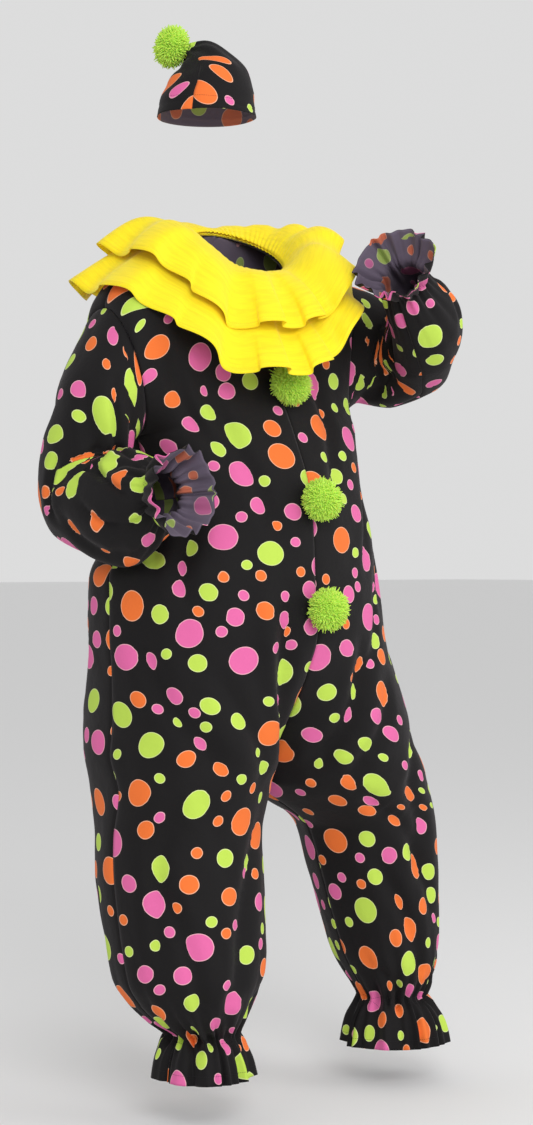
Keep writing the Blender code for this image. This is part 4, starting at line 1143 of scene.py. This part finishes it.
DOT_SOCKETS = [
    ("Distance", "NodeSocketFloat"), ("Radius", "NodeSocketFloat"), ("Pick", "NodeSocketFloat"),
]


def dot_layer(name, cell, radii, share, scatter, turn, gap, earlier):
    """A group that charts one size of dot on the flat cloth.

    One dot sits in each cell of a loose chequer. It is left out, with a radius of 0, where it
    would come nearer than the gap to a dot of an earlier group. Distances are in metres.
    """
    group, given, result = new_group(name, [("Place", "NodeSocketVector")], DOT_SOCKETS)
    nodes = Nodes(group)
    cells = nodes.scale(nodes.turn(given.outputs[0], turn), 1 / cell)
    spots = nodes.add(
        "ShaderNodeTexVoronoi", {"Vector": cells, "Scale": 1.0, "Randomness": scatter},
        voronoi_dimensions="2D", feature="F1",
    )
    parts = nodes.add("ShaderNodeSeparateColor", {0: spots.outputs["Color"]}).outputs
    larger = nodes.sum("LESS_THAN", parts[0], share)
    radius = nodes.sum("MULTIPLY_ADD", larger, radii[0] - radii[1], radii[1])
    middle = nodes.turn(nodes.scale(spots.outputs["Position"], cell), -turn)
    floored = nodes.vector("FLOOR", spots.outputs["Position"])
    square = nodes.add("ShaderNodeSeparateXYZ", {0: floored}).outputs
    order = nodes.sum("DIVIDE", nodes.sum("MULTIPLY_ADD", square[1], 2.0, square[0]), 3.0)
    change = nodes.sum("FLOOR", nodes.sum("MULTIPLY", parts[1], 1.5))
    order = nodes.sum("ADD", order, nodes.sum("DIVIDE", change, 3.0))
    pick = nodes.sum("FRACT", nodes.sum("ADD", order, 0.17 + turn))
    for other in earlier:
        near = use(nodes, other, {"Place": middle})
        needed = nodes.sum("ADD", near.outputs["Radius"], nodes.sum("ADD", radius, gap))
        hidden = nodes.sum("LESS_THAN", near.outputs["Radius"], 0.001)
        clear = nodes.sum("GREATER_THAN", near.outputs["Distance"], needed)
        radius = nodes.sum("MULTIPLY", radius, nodes.sum("MAXIMUM", clear, hidden))
    distance = nodes.sum("MULTIPLY", spots.outputs["Distance"], cell)
    for socket, value in zip(result.inputs, (distance, radius, pick)):
        group.links.new(value, socket)
    return group


def dot_print(settings):
    """A group with the printed cloth's colour: flat dots in three colours and three sizes.

    Each dot has a thin paler rim. Its inputs are the place on the flat cut in metres, and the
    colour of the ground.
    """
    big = settings.big_dot
    middle = settings.middle_dot
    small = settings.small_dot
    gap = settings.dot_gap
    first = dot_layer("large dots", settings.dot_cell, (big, middle), 0.66, 0.45, 0.35, gap, [])
    second = dot_layer(
        "middle dots", settings.dot_cell * 0.62, (middle, middle), 1.1, 0.60, 1.05, gap, [first]
    )
    third = dot_layer(
        "small dots", settings.dot_cell * 0.46, (small, small), 1.1, 0.60, 0.72, gap,
        [first, second],
    )
    group, given, result = new_group(
        "dot print",
        [("Place", "NodeSocketVector"), ("Ground", "NodeSocketColor")],
        [("Color", "NodeSocketColor")],
    )
    nodes = Nodes(group)
    colour = given.outputs["Ground"]
    for layer in (first, second, third):
        dots = use(nodes, layer, {"Place": given.outputs["Place"]})
        distance, radius, pick = dots.outputs
        inside = nodes.sum("SUBTRACT", distance, radius)
        shown = nodes.sum("GREATER_THAN", radius, 0.001)
        dot = nodes.sum("MULTIPLY", nodes.fade(inside, -0.0002, 0.0002), shown)
        rim = nodes.sum("SUBTRACT", 1.0, nodes.fade(inside, -0.0016, -0.0008))
        paint = nodes.mix(nodes.sum("GREATER_THAN", pick, 0.36), settings.orange, settings.pink)
        paint = nodes.mix(nodes.sum("GREATER_THAN", pick, 0.68), paint, settings.lime)
        pale = nodes.mix(0.35, paint, (1.0, 0.93, 0.72))
        paint = nodes.mix(rim, paint, pale)
        colour = nodes.mix(dot, colour, paint)
    group.links.new(colour, result.inputs[0])
    return group


def weave(name, scale, depth):
    """A group with a fine cloth surface: crossed threads and a soft crumple, as a normal."""
    group, given, result = new_group(
        name, [("Place", "NodeSocketVector"), ("Object", "NodeSocketVector")],
        [("Normal", "NodeSocketVector")],
    )
    nodes = Nodes(group)
    links = {"Vector": given.outputs[0], "Scale": scale, "Distortion": 0.6}
    warp, weft = (
        nodes.add("ShaderNodeTexWave", links, wave_type="BANDS", bands_direction=way).outputs["Fac"]
        for way in "XY"
    )
    threads = nodes.sum("MAXIMUM", warp, weft)
    links = {"Vector": given.outputs[1], "Scale": 42.0, "Detail": 3.0, "Roughness": 0.55}
    crumple = nodes.add("ShaderNodeTexNoise", links).outputs["Fac"]
    height = nodes.sum("MULTIPLY_ADD", threads, 0.05, crumple)
    bump = nodes.add("ShaderNodeBump", {"Strength": 1.0, "Distance": depth, "Height": height})
    group.links.new(bump.outputs[0], result.inputs[0])
    return group


def crepe_bump(spacing, depth):
    """A group with the crepe's crinkle: fine uneven lines that run along the hem, as a normal, and their
    height, which paints shade into the crepe's colour where they lie low.
    """
    group, given, result = new_group(
        "crepe crinkle", [("Place", "NodeSocketVector")],
        [("Normal", "NodeSocketVector"), ("Height", "NodeSocketFloat")],
    )
    nodes = Nodes(group)
    stretched = nodes.vector("MULTIPLY", given.outputs[0], (0.10, 1.0, 1.0))
    links = {"Vector": stretched, "Scale": 1 / spacing, "Detail": 2.0, "Roughness": 0.6}
    lines = nodes.add("ShaderNodeTexNoise", links).outputs["Fac"]
    coarse = nodes.add("ShaderNodeTexNoise", {"Vector": stretched, "Scale": 0.3 / spacing, "Detail": 1.0})
    height = nodes.sum("MULTIPLY_ADD", coarse.outputs["Fac"], 1.4, lines)
    bump = nodes.add("ShaderNodeBump", {"Strength": 1.0, "Distance": depth, "Height": height})
    group.links.new(bump.outputs[0], result.inputs[0])
    group.links.new(height, result.inputs[1])
    return group


def new_material(name, roughness, sheen, tint):
    """A material with its shader's plain values set, and its nodes."""
    material = bpy.data.materials.new(name)
    material.use_nodes = True
    shader = material.node_tree.nodes["Principled BSDF"]
    shader.inputs["Roughness"].default_value = roughness
    shader.inputs["Sheen Weight"].default_value = sheen
    shader.inputs["Sheen Roughness"].default_value = 0.45
    shader.inputs["Sheen Tint"].default_value = (*tint, 1)
    shader.inputs["Specular IOR Level"].default_value = 0.25
    return material, shader, Nodes(material.node_tree)


def cloth_places(nodes):
    """The place on the flat cut, and the place in the object."""
    cut = nodes.add("ShaderNodeUVMap", uv_map="cut").outputs[0]
    return cut, nodes.add("ShaderNodeTexCoord").outputs["Object"]


def make_materials(settings):
    """All materials, by name; they are made once."""
    if MATERIALS:
        return MATERIALS
    dots = dot_print(settings)
    surface = weave("cloth weave", 260.0, 0.0011)
    crinkle = crepe_bump(0.0021, 0.00035)
    for name, ground, roughness, sheen, faded in (
        ("dotted cloth", settings.ground, 0.80, 0.075, 0.0),
        ("dotted cloth wrong side", settings.wrong_side, 0.85, 0.10, 0.45),
    ):
        material, shader, nodes = new_material(name, roughness, sheen, (0.75, 0.68, 0.72))
        cut, place = cloth_places(nodes)
        printed = use(nodes, dots, {"Place": cut})
        printed.inputs["Ground"].default_value = (*ground, 1)
        colour = printed.outputs["Color"]
        if faded:
            colour = nodes.mix(faded, colour, ground)
        woven = use(nodes, surface, {"Place": cut, "Object": place})
        nodes.tree.links.new(colour, shader.inputs["Base Color"])
        nodes.tree.links.new(woven.outputs["Normal"], shader.inputs["Normal"])
        MATERIALS[name] = material
    material, shader, nodes = new_material("black thread", 0.6, 0.0, (1, 1, 1))
    shader.inputs["Base Color"].default_value = (*settings.thread, 1)
    MATERIALS["black thread"] = material
    for name, colour in (("yellow crepe", settings.yellow), ("yellow thread", settings.yellow_thread)):
        material, shader, nodes = new_material(name, 0.62, 0.25, (1.0, 0.93, 0.5))
        if name == "yellow crepe":
            cut, place = cloth_places(nodes)
            lines = use(nodes, crinkle, {"Place": cut})
            # painted shade: where the crinkle's height lies low, the crepe's colour is mixed towards a tone
            # 10% dimmer
            crinkle_shade_colour = tuple(0.90 * value for value in colour)
            shade = nodes.mix(nodes.fade(lines.outputs["Height"], 0.85, 1.45), colour, crinkle_shade_colour)
            nodes.tree.links.new(shade, shader.inputs["Base Color"])
            nodes.tree.links.new(lines.outputs["Normal"], shader.inputs["Normal"])
            shader.inputs["Subsurface Weight"].default_value = 0.12
            shader.inputs["Subsurface Scale"].default_value = 0.01
        else:
            shader.inputs["Base Color"].default_value = (*colour, 1)
        MATERIALS[name] = material
    material, shader, nodes = new_material("lime yarn", 0.7, 0.5, (0.8, 1.0, 0.4))
    shade = nodes.add("ShaderNodeAttribute", attribute_name="shade").outputs["Fac"]
    # painted shade: yarn with a low shade value, towards the pompom's middle, is mixed towards a colour a
    # quarter dimmer
    shaded_yarn = tuple(0.74 * value for value in settings.yarn)
    colour = nodes.mix(nodes.fade(shade, 0.45, 0.85), settings.yarn, shaded_yarn)
    nodes.tree.links.new(colour, shader.inputs["Base Color"])
    shader.inputs["Subsurface Weight"].default_value = 0.15
    shader.inputs["Subsurface Scale"].default_value = 0.006
    MATERIALS["lime yarn"] = material
    return MATERIALS


MATERIALS = {}


# ---------------------------------------------------------------- the add-on


def length(name, description, default, low=0.0, high=0.5):
    """A length setting, in metres."""
    return FloatProperty(
        name=name, description=description, default=default, min=low, max=high,
        subtype="DISTANCE", unit="LENGTH",
    )


def tint(name, description, default):
    """A colour setting."""
    return FloatVectorProperty(
        name=name, description=description, default=default, subtype="COLOR", min=0, max=1,
    )


class COSTUME_PG_settings(bpy.types.PropertyGroup):
    """Sizes and colours that a user would change."""

    wall: length("Cloth thickness", "Thickness of the dotted cloth", 0.0012, 0.0005, 0.003)
    crepe_wall: length("Crepe thickness", "Thickness of the ruff's crepe", 0.0009, 0.0004, 0.002)
    big_dot: length("Large dot", "Radius of the largest dots", 0.0238)
    middle_dot: length("Middle dot", "Radius of the middle dots", 0.0156)
    small_dot: length("Small dot", "Radius of the smallest dots", 0.0096)
    dot_gap: length("Dot gap", "Least ground left between two dots", 0.0120)
    dot_cell: length("Dot spacing", "Spacing of the large dots", 0.098)
    strands: IntProperty(
        name="Yarn strands", description="Strands of yarn in one pompom", default=2300, min=200, max=4000,
    )
    yarn_width: length("Yarn width", "Half width of one strand", 0.00110)
    ground: tint("Ground", "Colour of the cloth's ground", (0.0042, 0.0034, 0.0038))
    wrong_side: tint("Wrong side", "Colour of the cloth's wrong side", (0.115, 0.092, 0.130))
    orange: tint("Orange dots", "First dot colour", (0.80, 0.165, 0.030))
    pink: tint("Pink dots", "Second dot colour", (0.70, 0.130, 0.345))
    lime: tint("Lime dots", "Third dot colour", (0.47, 0.66, 0.080))
    yellow: tint("Ruff", "Colour of the ruff's crepe", (1.0, 0.76, 0.012))
    yellow_thread: tint("Ruff thread", "Colour of the ruff's stitches", (0.75, 0.52, 0.02))
    thread: tint("Thread", "Colour of the jumpsuit's stitches", (0.012, 0.010, 0.012))
    yarn: tint("Pompoms", "Colour of the yarn", (0.52, 0.80, 0.085))
    floor_colour: tint("Floor", "Colour of the floor", (0.80, 0.80, 0.80))


class CostumeOperator:
    """What every operator of the costume shares."""

    bl_options = {"REGISTER", "UNDO"}

    def prepare(self, context):
        """The settings and the materials."""
        settings = context.scene.costume
        return settings, make_materials(settings)

    def prepare_dotted(self, context):
        """The settings, and the dotted cloth's right and wrong sides."""
        settings, materials = self.prepare(context)
        return settings, [materials["dotted cloth"], materials["dotted cloth wrong side"]]


class COSTUME_OT_jumpsuit(CostumeOperator, bpy.types.Operator):
    """Builds the four body panels and two sleeves with their folds, gathers and frills."""

    bl_idname = "costume.jumpsuit"
    bl_label = "Jumpsuit"

    def execute(self, context):
        settings, finish = self.prepare_dotted(context)
        for side in ("right", "left"):
            for face in ("front", "back"):
                name = f"{face}_{side}"
                grid, sign, cut, places = panel_grid(side, face)
                PIECES[name] = (grid, sign, places)
                make_piece("cloth_" + name, grid, sign, cut, settings.wall, finish, name)
            name = f"sleeve_{side}"
            grid, sign, cut, places = sleeve_grid(side)
            PIECES[name] = (grid, sign, places)
            make_piece("cloth_" + name, grid, sign, cut, settings.wall, finish, name)
        return {"FINISHED"}


class COSTUME_OT_ruff(CostumeOperator, bpy.types.Operator):
    """Builds the two tiers of the ruff, clear of the shoulders and of each other."""

    bl_idname = "costume.ruff"
    bl_label = "Ruff"

    def execute(self, context):
        settings, materials = self.prepare(context)
        if "front_left" not in PIECES:
            raise RuntimeError("build the jumpsuit before the ruff")
        lower, sign, cut = ruff_grid("ruff_lower")
        for name in ("front_right", "front_left", "back_right", "back_left", "sleeve_right", "sleeve_left"):
            cloth, cloth_sign, _ = PIECES[name]
            lower = clear_of(lower, cloth, cloth_sign, settings.crepe_wall + 0.0012)
        upper, sign, upper_cut = ruff_grid("ruff_upper")
        for name, grid, flat in (("ruff_lower", lower, cut), ("ruff_upper", upper, upper_cut)):
            PIECES[name] = (grid, sign, None)
            make_piece(
                "cloth_" + name, grid, sign, flat, settings.crepe_wall, [materials["yellow crepe"]],
                name,
            )
        return {"FINISHED"}


class COSTUME_OT_hat(CostumeOperator, bpy.types.Operator):
    """Builds the soft hat with its flopped tip."""

    bl_idname = "costume.hat"
    bl_label = "Hat"

    def execute(self, context):
        settings, finish = self.prepare_dotted(context)
        grid, sign, cut = hat_grid()
        PIECES["hat_crown"] = (grid, sign, None)
        make_piece("cloth_hat_crown", grid, sign, cut, settings.wall, finish, "hat_crown")
        return {"FINISHED"}


class COSTUME_OT_pompoms(CostumeOperator, bpy.types.Operator):
    """Builds the yarn pompoms on the front and on the hat."""

    bl_idname = "costume.pompoms"
    bl_label = "Pompoms"

    def execute(self, context):
        settings, materials = self.prepare(context)
        spots = [(pompom.name, *self.seat(pompom)) for pompom in FRONT_POMPOMS]
        spots.append(("hat_pompom", np.array(HAT_POMPOM), np.array(HAT_POMPOM_FACING)))
        for seed, (name, centre, facing) in enumerate(spots):
            ball = yarn_ball(
                "yarn_" + name, centre, facing, settings.strands, settings.yarn_width,
                [materials["lime yarn"]], seed + 5,
            )
            settle(ball, name)
            heart = yarn_heart("yarn_heart_" + name, centre, facing, materials["lime yarn"])
            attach(heart, "root")
        return {"FINISHED"}

    def seat(self, pompom):
        """A front pompom's middle and the way it faces: square to the centre-front seam."""
        grid, _, _ = PIECES["front_right"]
        seam = grid[:, 0]
        k = np.searchsorted(-seam[:, 2], -pompom.z)
        along = unit(seam[min(k + 6, len(seam) - 1)] - seam[k - 6])
        facing = unit(np.array([0.0, along[2], -along[1]]))
        return seam[k] + (POMPOM_DEPTH + pompom.clear * 0.3) * facing, facing


class COSTUME_OT_fly(CostumeOperator, bpy.types.Operator):
    """Builds the strip that closes the centre back from inside."""

    bl_idname = "costume.fly"
    bl_label = "Back fly"

    def execute(self, context):
        settings, finish = self.prepare_dotted(context)
        halves = []
        for side in ("right", "left"):
            grid, sign, (at, run, _) = PIECES[f"back_{side}"]
            normals = grid_normals(grid, sign)
            rows = np.flatnonzero((at > FLY_LEVELS[0]) & (at < FLY_LEVELS[1]))
            steps = np.linspace(0, FLY_HALF_WIDTH, 9)
            inside = grid - normals * FLY_CLEAR
            half = np.stack([
                np.stack([np.interp(steps, run[row], inside[row, :, axis]) for axis in range(3)], axis=1)
                for row in rows
            ])
            halves.append(half if side == "right" else half[:, ::-1])
        count = min(len(half) for half in halves)
        right, left = (half[:count] for half in halves)
        middle = (right[:, :1] + left[:, -1:]) / 2
        grid = np.concatenate([left[:, :-1], middle, right[:, 1:]], axis=1)
        run = lengths(grid, 1)
        fall = lengths(grid, 0)
        make_piece(
            "cloth_back_fly", grid, -1, np.stack([run + 9.7, -fall], axis=2), settings.wall, finish,
            "back_fly",
        )
        PIECES["back_fly"] = (grid, -1, None)
        return {"FINISHED"}


class COSTUME_OT_details(CostumeOperator, bpy.types.Operator):
    """Adds the stitching."""

    bl_idname = "costume.details"
    bl_label = "Stitching"

    def execute(self, context):
        _, materials = self.prepare(context)
        for name in CUTS:
            rows = self.stitches(name)
            if rows:
                points, faces = join_rows(rows)
                thread = "yellow thread" if name.startswith("ruff") else "black thread"
                sewn = mesh_from("stitches_" + name, points, faces, [materials[thread]])
                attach(sewn, "root")
        return {"FINISHED"}

    def stitches(self, name):
        """Stitch rows of one piece: beside its hem, and on either side of its elastic."""
        if name == "back_fly":
            return []
        grid, sign, _ = PIECES[name]
        normals = grid_normals(grid, sign, wrapped=not name.startswith(("front", "back")))
        if name.startswith("ruff"):
            return [stitch_row(grid[-2], normals[-2], *RUFF_STITCH)]
        if name == "hat_crown":
            return [stitch_row(grid[HAT_STITCH_ROW], normals[HAT_STITCH_ROW], *STITCH)]
        at = PIECES[name][2][0]
        frill = 3 if name.startswith(("front", "back")) else 2
        elastic = int(np.searchsorted(at, at[-1] - frill))
        return [
            stitch_row(grid[row], normals[row], *STITCH)
            for row in (elastic - 1, elastic + 1, len(grid) - 4)
        ]


class COSTUME_OT_stage(CostumeOperator, bpy.types.Operator):
    """Builds the floor, the soft light and the camera."""

    bl_idname = "costume.stage"
    bl_label = "Stage"

    def execute(self, context):
        settings, _ = self.prepare(context)
        scene = context.scene
        corners = [[x, y, 0.0] for x, y in ((-1, -1), (1, -1), (1, 1), (-1, 1))]
        corners = np.array(corners) * FLOOR_REACH + [0, 0, FLOOR_Z]
        pale = bpy.data.materials.new("pale floor")
        pale.use_nodes = True
        shader = pale.node_tree.nodes["Principled BSDF"]
        shader.inputs["Base Color"].default_value = (*settings.floor_colour, 1)
        shader.inputs["Roughness"].default_value = 0.9
        floor = mesh_from("floor", corners, np.array([[0, 1, 2, 3]]), [pale])
        world = bpy.data.worlds.new("studio")
        world.use_nodes = True
        sky = world.node_tree.nodes["Background"]
        sky.inputs["Color"].default_value = (1, 1, 1, 1)
        sky.inputs["Strength"].default_value = WORLD_STRENGTH
        scene.world = world
        scene.view_settings.view_transform = "Standard"
        for name, spot, energy, size in LAMPS:
            lamp = bpy.data.lights.new(name, "AREA")
            lamp.energy = energy
            lamp.size = size
            light = bpy.data.objects.new(name, lamp)
            light.location = spot
            way = Vector(LAMP_AIM) - Vector(spot)
            light.rotation_euler = way.to_track_quat("-Z", "Y").to_euler()
            context.collection.objects.link(light)
        camera = bpy.data.objects.new("camera", bpy.data.cameras.new("camera"))
        context.collection.objects.link(camera)
        camera.location = CAMERA_PLACE
        camera.rotation_euler = Vector(CAMERA_WAY).to_track_quat("-Z", "Y").to_euler()
        camera.data.lens = CAMERA_LENS
        camera.data.sensor_width = 36
        camera.data.sensor_fit = "AUTO"
        scene.camera = camera
        return {"FINISHED"}


class COSTUME_PT_panel(bpy.types.Panel):
    """The sidebar's list of what can be built."""

    bl_label = "Clown Costume"
    bl_idname = "COSTUME_PT_panel"
    bl_space_type = "VIEW_3D"
    bl_region_type = "UI"
    bl_category = "Costume"

    def draw(self, context):
        for name in COSTUME_PG_settings.__annotations__:
            self.layout.prop(context.scene.costume, name)
        for operator in OPERATORS:
            self.layout.operator(operator.bl_idname)


OPERATORS = (
    COSTUME_OT_jumpsuit,
    COSTUME_OT_ruff,
    COSTUME_OT_hat,
    COSTUME_OT_pompoms,
    COSTUME_OT_fly,
    COSTUME_OT_details,
    COSTUME_OT_stage,
)


def register():
    """Adds the classes and the scene's settings."""
    for kind in (COSTUME_PG_settings, *OPERATORS, COSTUME_PT_panel):
        bpy.utils.register_class(kind)
    bpy.types.Scene.costume = PointerProperty(type=COSTUME_PG_settings)


def unregister():
    """Takes them away again."""
    del bpy.types.Scene.costume
    for kind in reversed((COSTUME_PG_settings, *OPERATORS, COSTUME_PT_panel)):
        bpy.utils.unregister_class(kind)


def main():
    """Builds everything."""
    register()
    bpy.ops.costume.jumpsuit()
    bpy.ops.costume.ruff()
    bpy.ops.costume.hat()
    bpy.ops.costume.pompoms()
    bpy.ops.costume.fly()
    bpy.ops.costume.details()
    bpy.ops.costume.stage()


if __name__ == "__main__":
    main()
